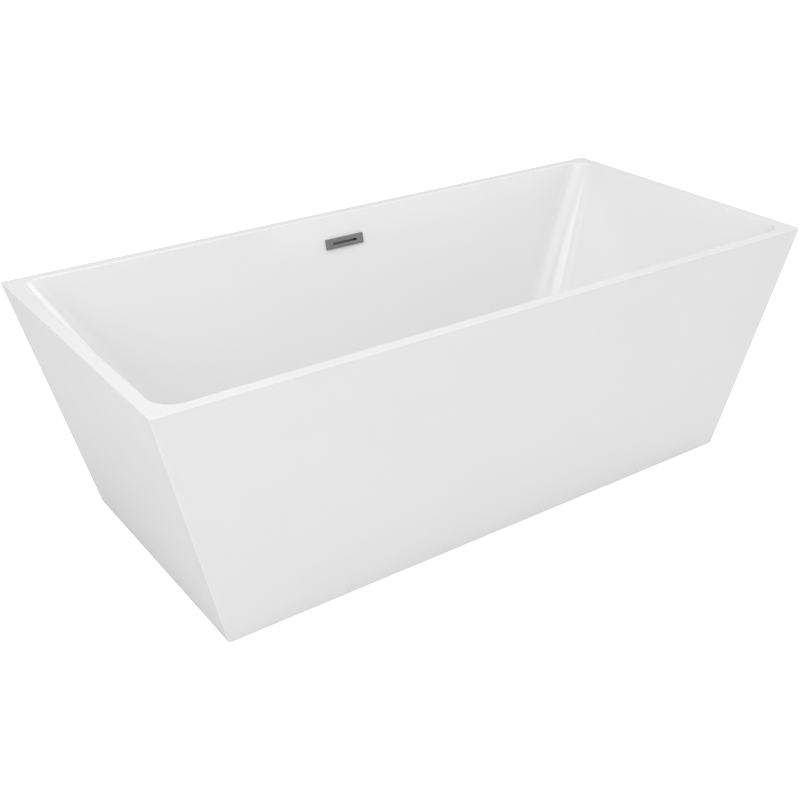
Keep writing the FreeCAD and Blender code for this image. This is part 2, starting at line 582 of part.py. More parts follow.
def make_plug():
    """The click cartridge in the flange's hub, and the plug whose stem slides in it."""
    rib_top = RIB_BOTTOM + RIB_HEIGHT
    cartridge = cylinder(HUB_RADIUS, HUB_BOTTOM, HUB_TOP)
    cartridge = cartridge.cut(cylinder(HUB_BORE_RADIUS, HUB_BOTTOM + HUB_FLOOR, HUB_TOP - HUB_LIP))
    cartridge = cartridge.cut(cylinder(HUB_LIP_RADIUS, HUB_TOP - HUB_LIP - PAST, HUB_TOP + PAST))
    collar = ring(HUB_RADIUS + RIB_WIDTH, HUB_RADIUS, rib_top, rib_top + RIB_WIDTH)
    cartridge = cartridge.fuse(collar).removeSplitter()

    cap_under = FLANGE_TOP + PLUG_CLEARANCE
    sheet_under = cap_under + PLUG_LIP_HEIGHT
    crown = sheet_under + PLUG_SHEET
    profile = [(0, sheet_under), (PLUG_RADIUS - PLUG_LIP, sheet_under), (PLUG_RADIUS - PLUG_LIP, cap_under),
               (PLUG_RADIUS, cap_under), (PLUG_RADIUS, crown - PLUG_EDGE)]
    for step in range(PLUG_CROWN_STEPS + 1):
        share = 1 - step / PLUG_CROWN_STEPS
        profile.append((share * (PLUG_RADIUS - PLUG_EDGE), crown + PLUG_CROWN * (1 - share ** 2)))
    cap = turned(profile)
    seal = ring(PLUG_SEAL_RADIUS, PLUG_SEAL_INNER, cap_under, sheet_under)
    head_top = HUB_TOP - HUB_LIP - PLUG_TRAVEL - SWIVEL_GAP
    stem = cylinder(STEM_RADIUS, head_top, sheet_under)
    head = cylinder(STEM_HEAD_RADIUS, head_top - STEM_HEAD, head_top)
    guide = ring(PLUG_GUIDE_RADIUS, STEM_RADIUS, sheet_under - PLUG_GUIDE, sheet_under)
    stem = stem.fuse([head, guide]).removeSplitter()
    return {"click_cartridge": cartridge, "plug_cap": cap, "plug_seal": seal, "plug_stem": stem,
            "click_spring": spring(HUB_BOTTOM + HUB_FLOOR, head_top - STEM_HEAD)}


def spring(bottom, top):
    """Coil spring of round wire that touches both heights."""
    rise = top - bottom - 2 * SPRING_WIRE
    pitch = rise / SPRING_TURNS
    helix = Part.makeHelix(pitch, rise, SPRING_RADIUS)
    along = V(0, 1, pitch / (2 * math.pi * SPRING_RADIUS))
    section = Part.Wire(Part.makeCircle(SPRING_WIRE, V(SPRING_RADIUS, 0, 0), along))
    coil = Part.Wire(helix.Edges).makePipeShell([section], True, True)
    return coil.translated(V(0, 0, bottom + SPRING_WIRE))


def make_waste():
    tube_bottom = FLANGE_UNDER - FLANGE_TUBE_LENGTH
    seal = ring(WASTE_SEAL_RADIUS, FLANGE_TUBE_RADIUS, WASTE_TOP, WASTE_TOP + WASTE_SEAL)
    body = cylinder(WASTE_PLATE_RADIUS, WASTE_TOP - WASTE_PLATE, WASTE_TOP)
    body = body.fuse([cylinder(WASTE_CUP_RADIUS, WASTE_CUP_BOTTOM, WASTE_TOP),
                      cylinder(TAIL_RADIUS, TAIL_BOTTOM, WASTE_CUP_BOTTOM + PAST),
                      branch(SPIGOT_RADIUS, BRANCH_REACH),
                      branch(SPIGOT_RADIUS + BRANCH_SHOULDER, BRANCH_REACH - HOSE_LAP)])
    body = body.cut(cylinder(FLANGE_TUBE_RADIUS, tube_bottom, WASTE_TOP + PAST))
    body = body.cut(cylinder(WASTE_CUP_RADIUS - WASTE_WALL, WASTE_CUP_BOTTOM + WASTE_WALL, tube_bottom))
    body = body.cut(cylinder(TAIL_BORE_RADIUS, TAIL_BOTTOM - PAST, tube_bottom))
    body = body.cut(branch(SPIGOT_BORE_RADIUS, BRANCH_REACH + PAST)).removeSplitter()
    return {"waste_seal": seal, "waste_body": body}


def branch(radius, reach):
    """Bar along the overflow branch of the waste body, from the drain's axis."""
    return Part.makeCylinder(radius, reach, V(0, 0, BRANCH_HEIGHT), Y_AXIS)


# ---------------------------------------------------------------- trap
def stadium(half_width, front, bottom, top):
    """Plan form of the trap's drum: round at the drain's axis and at front on the -Y side."""
    between = block(-half_width, half_width, -front, 0, bottom, top)
    return cylinder(half_width, bottom, top).fuse([cylinder(half_width, bottom, top, 0, -front), between])


def make_trap_joint():
    """The nut and washer that hold the trap's collar to the waste, and let it swivel."""
    washer = ring(TAIL_RADIUS, TAIL_BORE_RADIUS, TAIL_BOTTOM - UNION_WASHER, TAIL_BOTTOM)
    nut_top = TAIL_BOTTOM + UNION_THREAD
    lip_top = COLLAR_TOP - COLLAR - SWIVEL_GAP
    nut_bottom = lip_top - UNION_NUT_BELOW
    nut = cylinder(UNION_NUT_RADIUS, nut_bottom, nut_top)
    out = UNION_NUT_RADIUS + GRIP_GROOVE_OUT
    for i in range(GRIP_GROOVES):
        a = 2 * math.pi * i / GRIP_GROOVES
        nut = nut.cut(cylinder(GRIP_GROOVE_RADIUS, nut_bottom - PAST, nut_top + PAST,
                               out * math.cos(a), out * math.sin(a)))
    nut = nut.cut(cylinder(TAIL_RADIUS, lip_top, nut_top + PAST))
    nut = nut.cut(cylinder(NECK_RADIUS + SWIVEL_GAP, nut_bottom - PAST, nut_top))
    return {"union_nut": nut, "union_washer": washer}


def trap_form(inset):
    """The trap's drum with its raised outlet chamber, taken in by inset."""
    half = DRUM_HALF_WIDTH - inset
    low = DRUM_BOTTOM + inset
    drum = stadium(half, DRUM_FRONT, low, DRUM_TOP - inset)
    tall = stadium(half, DRUM_FRONT, low, TOWER_TOP - inset)
    chamber = tall.common(block(-half, half, -2 * DRUM_FRONT, -TOWER_BACK - inset, low, TOWER_TOP))
    return drum.fuse(chamber)


def make_trap():
    front = DRUM_FRONT + DRUM_HALF_WIDTH
    hatch_end = front + CLEANOUT_REACH
    forms = [trap_form(0.0),
             cylinder(NECK_RADIUS, DRUM_TOP - PAST, COLLAR_TOP),
             cylinder(COLLAR_RADIUS, COLLAR_TOP - COLLAR, COLLAR_TOP),
             facing_bar(OUTLET_RADIUS, -OUTLET_REACH, -TOWER_BACK, OUTLET_HEIGHT),
             facing_bar(CLEANOUT_RADIUS, -hatch_end, -DRUM_FRONT, CLEANOUT_HEIGHT)]
    solid = forms[0].fuse(forms[1:]).cut(trap_form(DRUM_WALL))
    solid = solid.fuse(cylinder(NECK_RADIUS, DIP_BOTTOM, DRUM_TOP))
    socket_end = OUTLET_SOCKET - OUTLET_REACH
    body = solid.cut([cylinder(NECK_BORE_RADIUS, DIP_BOTTOM - PAST, COLLAR_TOP + PAST),
                      facing_bar(OUTLET_BORE_RADIUS, -OUTLET_REACH, socket_end, OUTLET_HEIGHT),
                      facing_bar(OUTLET_STOP_RADIUS, -OUTLET_REACH, -DRUM_FRONT, OUTLET_HEIGHT),
                      facing_bar(CLEANOUT_BORE_RADIUS, -hatch_end - PAST, -DRUM_FRONT, CLEANOUT_HEIGHT)])
    return {"trap_body": body.removeSplitter(), **outlet_union(), **cleanout_cover(-hatch_end)}


def outlet_union():
    """The nut and seal that hold the waste pipe in the trap's socket."""
    y, z = -OUTLET_REACH - OUTLET_SEAL, OUTLET_HEIGHT
    nut = facing_ring(OUTLET_NUT_RADIUS, OUTLET_RADIUS, y, y + OUTLET_NUT_LENGTH, z)
    lip = facing_ring(OUTLET_NUT_RADIUS, OUTLET_BORE_RADIUS, y - OUTLET_NUT_LIP, y, z)
    seal = facing_ring(OUTLET_RADIUS, OUTLET_BORE_RADIUS, y, y + OUTLET_SEAL, z)
    return {"outlet_nut": nut.fuse(lip).removeSplitter(), "outlet_seal": seal}


def cleanout_cover(end):
    """The screwed cap and its seal on the cleanout, whose open end is at y = end."""
    y, z = end - CAP_SEAL, CLEANOUT_HEIGHT
    cap = facing_bar(CLEANOUT_RADIUS + CAP_WALL, y - CAP_WALL, y + CLEANOUT_REACH, z)
    cap = cap.cut(facing_bar(CLEANOUT_RADIUS, y, y + CLEANOUT_REACH + PAST, z))
    seal = facing_ring(CLEANOUT_RADIUS, CLEANOUT_BORE_RADIUS, y, end, z)
    return {"cleanout_cap": cap, "cleanout_seal": seal}


def facing_bar(radius, y0, y1, z):
    """Bar along Y at height z."""
    return Part.makeCylinder(radius, y1 - y0, V(0, y0, z), Y_AXIS)


def facing_ring(outer, inner, y0, y1, z):
    """Ring round an axis along Y at height z."""
    return facing_bar(outer, y0, y1, z).cut(facing_bar(inner, y0, y1, z))


# ---------------------------------------------------------------- overflow
def wall_block(length, height, depth0, depth1):
    """Block round the overflow's centre, in wall axes."""
    return Part.makeBox(length, height, depth1 - depth0, V(-length / 2, -height / 2, depth0))


def make_overflow_plate():
    plate = wall_block(PLATE_LENGTH, PLATE_HEIGHT, -PLATE_DEPTH, 0)
    plate = plate.makeFillet(PLATE_EDGE, [e for e in plate.Edges if e.BoundBox.ZMax < -PLATE_DEPTH / 2])
    folds = 2 * PLATE_SHEET
    inside = wall_block(PLATE_LENGTH - folds, PLATE_HEIGHT - folds, PLATE_SHEET - PLATE_DEPTH, PAST)
    plate = plate.cut(inside)
    return plate.cut(obround(SLOT_LENGTH, SLOT_HEIGHT, -PLATE_DEPTH - PAST, 0))


def overflow_body_form(inset, depth0, depth1):
    """The wide box behind the slot with its funnel, taken in by inset."""
    half, top = BODY_LENGTH / 2 - inset, BODY_HEIGHT / 2 - inset
    shoulder = -BODY_HEIGHT / 4
    throat = FUNNEL_WIDTH / 2 - 2 * inset
    outline = [(-half, top), (half, top), (half, shoulder), (throat, inset - FUNNEL_DROP),
               (-throat, inset - FUNNEL_DROP), (-half, shoulder)]
    return wall_prism(outline, depth0, depth1)


def make_overflow():
    w = BODY_WALL
    tube = (MOUTH_LENGTH - 2 * CHASSIS_CLEARANCE, MOUTH_HEIGHT - 2 * CHASSIS_CLEARANCE)
    passage = (PASSAGE_LENGTH, tube[1] - 2 * CHASSIS_WALL)
    gasket_back = BASIN_BACK + OVERFLOW_GASKET
    body_back = gasket_back + BODY_DEPTH
    chassis = obround(MOUTH_LENGTH + 2 * CHASSIS_LAP, MOUTH_HEIGHT + 2 * CHASSIS_LAP, -CHASSIS_FLANGE, 0)
    chassis = chassis.fuse(obround(*tube, 0, gasket_back))
    chassis = chassis.cut(obround(*passage, -CHASSIS_FLANGE - PAST, gasket_back + PAST))
    gasket = wall_block(BODY_LENGTH, BODY_HEIGHT, BASIN_BACK, gasket_back)
    gasket = gasket.cut(obround(*tube, BASIN_BACK - PAST, gasket_back + PAST))

    body = overflow_body_form(0.0, gasket_back, body_back)
    body = body.fuse([pipe_stub(BOSS_RADIUS, -BOSS_DROP, w - FUNNEL_DROP),
                      pipe_stub(SPIGOT_RADIUS, -SPIGOT_DROP, -BOSS_DROP)])
    body = body.cut(overflow_body_form(w, gasket_back + w, body_back - w))
    body = body.cut(obround(*passage, gasket_back - PAST, gasket_back + 2 * w))
    body = body.cut(pipe_stub(SPIGOT_BORE_RADIUS, -SPIGOT_DROP - PAST, -FUNNEL_DROP))
    port = 2 * (SPIGOT_BORE_RADIUS - w)
    port_corner = V(-port / 2, -FUNNEL_DROP - w, gasket_back + w)
    body = body.cut(Part.makeBox(port, 3 * w, BODY_DEPTH - 2 * w, port_corner))
    screws = []
    for x in (-OVERFLOW_SCREW_X, OVERFLOW_SCREW_X):
        under = -CHASSIS_FLANGE - OVERFLOW_SCREW_HEAD
        tip = gasket_back + w + OVERFLOW_SCREW_BITE
        shank = Part.makeCylinder(OVERFLOW_SCREW_RADIUS, tip - under, V(x, 0, under))
        head = Part.makeCylinder(OVERFLOW_SCREW_HEAD_RADIUS, OVERFLOW_SCREW_HEAD, V(x, 0, under))
        screws.append(shank.fuse(head))
        body = body.fuse(Part.makeCylinder(POST_RADIUS, BODY_DEPTH - w / 2, V(x, 0, gasket_back)))
    screws = Part.makeCompound(screws)
    shapes = {"overflow_plate": make_overflow_plate(), "overflow_chassis": chassis.cut(screws),
              "overflow_gasket": gasket, "overflow_body": body.cut(screws).removeSplitter(),
              "overflow_screws": screws}
    return {name: on_wall(shape) for name, shape in shapes.items()}


def wall_prism(outline, depth0, depth1):
    """Prism on an outline in wall axes, between two depths behind the tub wall's inner face."""
    corners = [V(x, y, depth0) for x, y in outline]
    return Part.Face(Part.makePolygon(corners + corners[:1])).extrude(V(0, 0, depth1 - depth0))


def pipe_stub(radius, low, high):
    """Bar along the overflow spigot, in wall axes."""
    return Part.makeCylinder(radius, high - low, V(0, low, SPIGOT_DEPTH), Y_AXIS)


# ---------------------------------------------------------------- overflow hose
def hose_route():
    """Points of the hose's axis: upper end, corner behind the basin, lower end."""
    centre = V(0, OVERFLOW_Y, OVERFLOW_Z)
    upper = centre - WALL_UP * (SPIGOT_DROP - HOSE_LAP) + WALL_OUT * SPIGOT_DEPTH
    corner = upper - WALL_UP * ((upper.z - BRANCH_HEIGHT) / WALL_UP.z)
    lower = V(0, BRANCH_REACH - HOSE_LAP, BRANCH_HEIGHT)
    return upper, corner, lower


def hose_axis():
    upper, corner, lower = hose_route()
    down, across = (corner - upper).normalize(), (lower - corner).normalize()
    turn = down.getAngle(across)
    tangent = HOSE_BEND * math.tan(turn / 2)
    start, end = corner - down * tangent, corner + across * tangent
    bisector = (across - down).normalize()
    middle = corner + bisector * (HOSE_BEND / math.cos(turn / 2) - HOSE_BEND)
    return Part.Wire([Part.LineSegment(upper, start).toShape(), Part.Arc(start, middle, end).toShape(),
                      Part.LineSegment(end, lower).toShape()])


def tube_along(path, radius):
    first = path.Edges[0]
    start, way = first.valueAt(first.FirstParameter), first.tangentAt(first.FirstParameter)
    section = Part.Wire(Part.makeCircle(radius, start, way))
    return path.makePipeShell([section], True, False)


def make_hose():
    path = hose_axis()
    hose = tube_along(path, HOSE_RADIUS).cut(tube_along(path, SPIGOT_RADIUS))
    print(f"hose length {path.Length:.1f}")
    upper, corner, lower = hose_route()
    down = (corner - upper).normalize()
    clamps = {}
    middle = HOSE_LAP / 2 - CLAMP_WIDTH / 2
    for name, start, way in (("hose_clamp_upper", upper + down * middle, down),
                             ("hose_clamp_lower", lower + Y_AXIS * middle, Y_AXIS)):
        band = Part.makeCylinder(HOSE_RADIUS + CLAMP_BAND, CLAMP_WIDTH, start, way)
        clamps[name] = band.cut(Part.makeCylinder(HOSE_RADIUS, CLAMP_WIDTH, start, way))
    return {"overflow_hose": hose, **clamps}


# ---------------------------------------------------------------- build
def main():
    os.makedirs("parts", exist_ok=True)
    groups = (make_shells, make_carriage, make_battens_and_brackets, make_feet, make_flange, make_plug,
              make_waste, make_trap_joint, make_trap, make_overflow, make_hose)
    for group in groups:
        for name, shape in group().items():
            solids = shape.Solids
            if not solids or not shape.isValid() or min(s.Volume for s in solids) <= 0:
                raise ValueError(f"{name} is not a sound solid")
            kept = solids[0] if len(solids) == 1 else Part.makeCompound(solids)
            kept.exportStep(f"parts/{name}.step")
            print(f"{name}: {len(solids)} solid(s), {shape.Volume / 1000:.1f} cm3")


main()
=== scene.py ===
import bmesh
import bpy
import math
from mathutils import Matrix, Vector


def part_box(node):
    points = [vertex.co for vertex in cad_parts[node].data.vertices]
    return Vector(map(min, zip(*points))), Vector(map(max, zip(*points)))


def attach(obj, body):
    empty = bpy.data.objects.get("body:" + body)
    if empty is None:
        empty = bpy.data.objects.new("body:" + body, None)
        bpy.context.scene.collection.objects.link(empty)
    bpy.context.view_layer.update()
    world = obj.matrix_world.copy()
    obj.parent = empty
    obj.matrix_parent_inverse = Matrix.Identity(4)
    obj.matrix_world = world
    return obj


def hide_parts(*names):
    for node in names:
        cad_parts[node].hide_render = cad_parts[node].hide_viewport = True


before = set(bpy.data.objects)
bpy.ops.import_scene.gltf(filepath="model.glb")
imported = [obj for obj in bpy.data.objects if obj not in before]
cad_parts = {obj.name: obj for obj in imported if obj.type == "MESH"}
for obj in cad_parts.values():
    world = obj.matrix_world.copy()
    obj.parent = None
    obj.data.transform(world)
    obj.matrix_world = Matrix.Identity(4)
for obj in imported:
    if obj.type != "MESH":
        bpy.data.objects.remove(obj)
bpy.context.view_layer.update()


# ---- Basin --------------------------------------------------------------------------------------
# The basin is one sheet of white acrylic, heated and drawn down over a mould, then trimmed at the
# rim. Its walls lean, its floor is coved all round and falls a little towards the waste.

tub_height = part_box("basin")[1].z
tub_half = (0.850, 0.375)            # over the rim, before its outer edge is eased
rim_width = (0.029, 0.026)           # at the ends, along the sides
rim_thickness = 0.005
rim_rounding = 0.004
rim_edge_rounding = 0.0015
acrylic = 0.004
floor_height = 0.145
wall_lean = (math.radians(28), math.radians(14))
mouth_radius = 0.048
foot_radius = 0.100
cove_radius = 0.080
dish_radius, dish_depth = 0.160, 0.004
recess_radius, recess_depth = 0.042, 0.0025
drain_hole_radius = 0.0245
skirt_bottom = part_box("skirt")[0].z
base_half = (0.709, 0.321)           # over the skirt's outside at its foot
upright_edge_radius = 0.004
mouth_size = (0.084, 0.018)          # of the opening for the overflow
flange_ease = 0.0003                 # where the rim sits on the skirt's flange
sawn_play = 0.00006                  # the rim's sawn edge is dressed back by this much
hair = 0.00002                       # keeps the two ends of an obround from meeting
corner_steps = 20
loop_points = 4 * (corner_steps + 1)
rim_steps, rim_edge_steps = 6, 4


def rounded_loop(bm, half_x, half_y, radius, z):
    """Adds a level rectangle of edges with round corners, and returns its edges."""
    before = set(bm.edges)
    corners = [(half_x, half_y), (-half_x, half_y), (-half_x, -half_y), (half_x, -half_y)]
    plate = bm.faces.new([bm.verts.new((x, y, z)) for x, y in corners])
    bmesh.ops.bevel(bm, geom=list(plate.verts), offset=radius, offset_type="OFFSET", affect="VERTICES",
                    segments=corner_steps, profile=0.5, material=-1)
    loop = [edge for edge in bm.edges if edge not in before]
    skins = {face for edge in loop for face in edge.link_faces}
    bmesh.ops.delete(bm, geom=list(skins), context="FACES_ONLY")
    return loop


def round_loop(bm, radius, z, points=loop_points):
    """Adds a level circle of edges, and returns its edges."""
    turn = Matrix.Translation((0, 0, z)) @ Matrix.Rotation(math.pi / points, 4, "Z")
    verts = bmesh.ops.create_circle(bm, segments=points, radius=radius, matrix=turn)["verts"]
    return list({edge for vert in verts for edge in vert.link_edges})


def skin_loops(bm, loops, closed=True):
    """Covers a row of loops with faces, from each to the next, and back to the first if closed.

    The loops are spread apart while they are joined, so that two in one plane can't be joined crosswise.
    """
    places = {vert: vert.co.copy() for loop in loops for edge in loop for vert in edge.verts}
    for step, loop in enumerate(loops):
        for vert in {vert for edge in loop for vert in edge.verts}:
            vert.co.z = step
    for one, other in zip(loops, loops[1:] + loops[:1] if closed else loops[1:]):
        bmesh.ops.bridge_loops(bm, edges=one + other)
    for vert, place in places.items():
        vert.co = place


def wall_half(z, grown=0.0):
    """Half length and half width of the basin's wall at height z, grown outwards."""
    drop = tub_height - z
    return [half - rim - drop * math.tan(lean) + grown / math.cos(lean)
            for half, rim, lean in zip(tub_half, rim_width, wall_lean)]


def wall_radius(z, grown=0.0):
    """Radius of the wall's upright corners at height z, grown outwards."""
    share = (tub_height - z) / (tub_height - floor_height)
    return mouth_radius + (foot_radius - mouth_radius) * share + grown


def basin_loops(bm, grown, top):
    """Loops of the basin's cove and wall, from the floor up to the height top."""
    floor = floor_height - grown
    radius = cove_radius + grown
    cove_steps = 14
    upright = 1 - math.sin(min(wall_lean))
    heights = [floor + radius * (1 - math.cos(step / cove_steps * math.acos(1 - upright)))
               for step in range(cove_steps + 1)]
    wall_steps = 6
    heights += [heights[-1] + (top - heights[-1]) * step / wall_steps for step in range(1, wall_steps + 1)]
    loops = []
    for z in heights:
        halves, insets = wall_half(z, grown), []
        for axis, lean in enumerate(wall_lean):
            centre = wall_half(floor + radius, grown)[axis] - radius / math.cos(lean)
            height = z - floor
            if height < radius * (1 - math.sin(lean)):
                cove = centre + math.sqrt(radius ** 2 - (radius - height) ** 2)
                insets.append(halves[axis] - cove)
                halves[axis] = cove
            else:
                insets.append(0.0)
        loops.append(rounded_loop(bm, *halves, wall_radius(z, grown) - sum(insets) / 2, z))
    return loops


def skirt_half(z, inset=0.0):
    """Half length and half width of the skirt's outside at height z, taken inwards."""
    rise = (z - skirt_bottom) / (tub_height - skirt_bottom)
    halves = []
    for top, base in zip(tub_half, base_half):
        slope = (top - base) / (tub_height - skirt_bottom)
        halves.append(base + (top - base) * rise - inset * math.hypot(1, slope))
    return halves


def floor_loops(bm, grown):
    """Loops of the basin's floor, from the drain hole outwards to the dish's edge."""
    floor = floor_height - grown
    recess = floor - dish_depth - recess_depth
    return [round_loop(bm, drain_hole_radius, recess),
            round_loop(bm, recess_radius + grown - 0.001, recess),
            round_loop(bm, recess_radius + grown, recess + 0.001),
            round_loop(bm, recess_radius + grown, floor - dish_depth - 0.0006),
            round_loop(bm, recess_radius + grown + 0.0008, floor - dish_depth),
            round_loop(bm, dish_radius, floor)]


def finished(bm):
    bmesh.ops.recalc_face_normals(bm, faces=bm.faces)
    return bm


def basin_mesh():
    """The sheet's inside, over the rim and its edge, then back down the outside to the drain hole."""
    bm = bmesh.new()
    loops = floor_loops(bm, 0.0) + basin_loops(bm, 0.0, tub_height - rim_rounding)
    for step in range(1, rim_steps + 1):
        angle = math.pi / 2 * step / rim_steps
        z = tub_height - rim_rounding * (1 - math.sin(angle))
        back = rim_rounding * (1 - math.cos(angle))
        loops.append(rounded_loop(bm, *[half + back for half in wall_half(tub_height - rim_rounding)],
                                  wall_radius(tub_height - rim_rounding) + back, z))
    for step in range(rim_edge_steps + 1):
        angle = math.pi / 2 * step / rim_edge_steps
        z = tub_height - rim_edge_rounding * (1 - math.cos(angle))
        inset = rim_edge_rounding * (1 - math.sin(angle))
        loops.append(rounded_loop(bm, *skirt_half(tub_height - rim_edge_rounding, inset + sawn_play),
                                  max(upright_edge_radius - inset, 0.001), z))
    under = tub_height - rim_thickness
    loops.append(rounded_loop(bm, *skirt_half(under + flange_ease, sawn_play), upright_edge_radius,
                              under + flange_ease))
    loops.append(rounded_loop(bm, *skirt_half(under, flange_ease), upright_edge_radius, under))
    loops += reversed(basin_loops(bm, acrylic, under))
    loops += reversed(floor_loops(bm, acrylic))
    skin_loops(bm, loops)
    return finished(bm)


def new_piece(bm, name, body, sharp_angle=32):
    """Makes an object of a bmesh, shades it smooth up to the sharp angle, and puts it on a body."""
    mesh = bpy.data.meshes.new(name)
    bm.to_mesh(mesh)
    bm.free()
    mesh.shade_smooth()
    mesh.set_sharp_from_angle(angle=math.radians(sharp_angle))
    piece = bpy.data.objects.new(name, mesh)
    bpy.context.scene.collection.objects.link(piece)
    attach(piece, body)
    return piece


def even_normals(piece):
    """Lets the large flat faces set the shading, so the small rounds don't bend it."""
    weigh = piece.modifiers.new("even normals", "WEIGHTED_NORMAL")
    weigh.mode = "FACE_AREA_WITH_ANGLE"
    weigh.weight = 100
    weigh.keep_sharp = True


def new_material(name):
    material = bpy.data.materials.new(name)
    material.use_nodes = True
    return material, material.node_tree, material.node_tree.nodes["Principled BSDF"]


def mottle_group():
    """A node group: soft cloudy variation between two values, on object coordinates."""
    group = bpy.data.node_groups.new("soft mottle", "ShaderNodeTree")
    for name, kind, value in (("Scale", "NodeSocketFloat", 5.0), ("Detail", "NodeSocketFloat", 3.0),
                              ("Low", "NodeSocketFloat", 0.0), ("High", "NodeSocketFloat", 1.0)):
        group.interface.new_socket(name, in_out="INPUT", socket_type=kind).default_value = value
    group.interface.new_socket("Value", in_out="OUTPUT", socket_type="NodeSocketFloat")
    nodes, links = group.nodes, group.links
    entry, exit_ = nodes.new("NodeGroupInput"), nodes.new("NodeGroupOutput")
    place, noise = nodes.new("ShaderNodeTexCoord"), nodes.new("ShaderNodeTexNoise")
    spread = nodes.new("ShaderNodeMapRange")
    spread.inputs["From Min"].default_value = 0.3
    spread.inputs["From Max"].default_value = 0.7
    links.new(place.outputs["Object"], noise.inputs["Vector"])
    links.new(entry.outputs["Scale"], noise.inputs["Scale"])
    links.new(entry.outputs["Detail"], noise.inputs["Detail"])
    links.new(noise.outputs["Fac"], spread.inputs["Value"])
    links.new(entry.outputs["Low"], spread.inputs["To Min"])
    links.new(entry.outputs["High"], spread.inputs["To Max"])
    links.new(spread.outputs["Result"], exit_.inputs["Value"])
    return group


soft_mottle = mottle_group()


def mottle(tree, scale, low, high, detail=3.0):
    """The soft mottle as a value between low and high."""
    node = tree.nodes.new("ShaderNodeGroup")
    node.node_tree = soft_mottle
    for name, value in (("Scale", scale), ("Detail", detail), ("Low", low), ("High", high)):
        node.inputs[name].default_value = value
    return node.outputs["Value"]


def bump(tree, height, distance, normal=None, strength=1.0):
    """A normal that follows the height, laid over another normal if one is given."""
    node = tree.nodes.new("ShaderNodeBump")
    node.inputs["Strength"].default_value = strength
    node.inputs["Distance"].default_value = distance
    tree.links.new(height, node.inputs["Height"])
    if normal is not None:
        tree.links.new(normal, node.inputs["Normal"])
    return node.outputs["Normal"]


def tinted(tree, factor, dark, light):
    """A colour between dark and light."""
    node = tree.nodes.new("ShaderNodeMix")
    node.data_type = "RGBA"
    node.inputs["A"].default_value = (*dark, 1)
    node.inputs["B"].default_value = (*light, 1)
    tree.links.new(factor, node.inputs["Factor"])
    return node.outputs["Result"]


def acrylic_material():
    material, tree, shader = new_material("gloss white acrylic")
    shader.inputs["IOR"].default_value = 1.49
    colour = tinted(tree, mottle(tree, 3.0, 0.0, 1.0), (0.872, 0.874, 0.872), (0.884, 0.885, 0.884))
    tree.links.new(colour, shader.inputs["Base Color"])
    tree.links.new(mottle(tree, 14.0, 0.055, 0.10), shader.inputs["Roughness"])
    wave = bump(tree, mottle(tree, 9.0, 0.0, 1.0, 2.0), 0.00006)
    tree.links.new(bump(tree, mottle(tree, 420.0, 0.0, 1.0, 1.0), 0.0000018, wave), shader.inputs["Normal"])
    return material


gloss_acrylic = acrylic_material()
basin = new_piece(basin_mesh(), "basin_shell", "tub")
overflow_depth = 0.069
overflow_y = tub_half[1] - rim_width[1] - overflow_depth * math.tan(wall_lean[1])
overflow_centre = Vector((0, overflow_y, tub_height - overflow_depth))
wall_turn = Matrix.Rotation(math.pi / 2 - wall_lean[1], 4, "X")
wall_place = Matrix.Translation(overflow_centre) @ wall_turn


def cut_mouth(piece, length, height):
    """Cuts the obround opening of the overflow through the rear wall."""
    bm = bmesh.new()
    loops = []
    for depth in (-0.02, 0.02):
        loops.append(rounded_loop(bm, length / 2, height / 2, height / 2 - hair, depth))
    skin_loops(bm, loops, closed=False)
    for loop in loops:
        bmesh.ops.edgeloop_fill(bm, edges=loop)
    bmesh.ops.transform(bm, matrix=wall_place, verts=bm.verts)
    bmesh.ops.recalc_face_normals(bm, faces=bm.faces)
    mesh = bpy.data.meshes.new("mouth cutter")
    bm.to_mesh(mesh)
    cutter = bpy.data.objects.new("mouth cutter", mesh)
    bpy.context.scene.collection.objects.link(cutter)
    cut = piece.modifiers.new("mouth", "BOOLEAN")
    cut.object, cut.operation, cut.solver = cutter, "DIFFERENCE", "EXACT"
    whole = piece.evaluated_get(bpy.context.evaluated_depsgraph_get())
    piece.data = bpy.data.meshes.new_from_object(whole)
    piece.modifiers.clear()
    bpy.data.objects.remove(cutter)


cut_mouth(basin, *mouth_size)
even_normals(basin)
basin.data.materials.append(gloss_acrylic)
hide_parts("basin")


# ---- Backing of the basin -----------------------------------------------------------------------
# Behind the thin acrylic of the basin lies chopped glass fibre in resin, sprayed on and rolled down
# by hand. It stays rough and straw-coloured, with the strands showing.


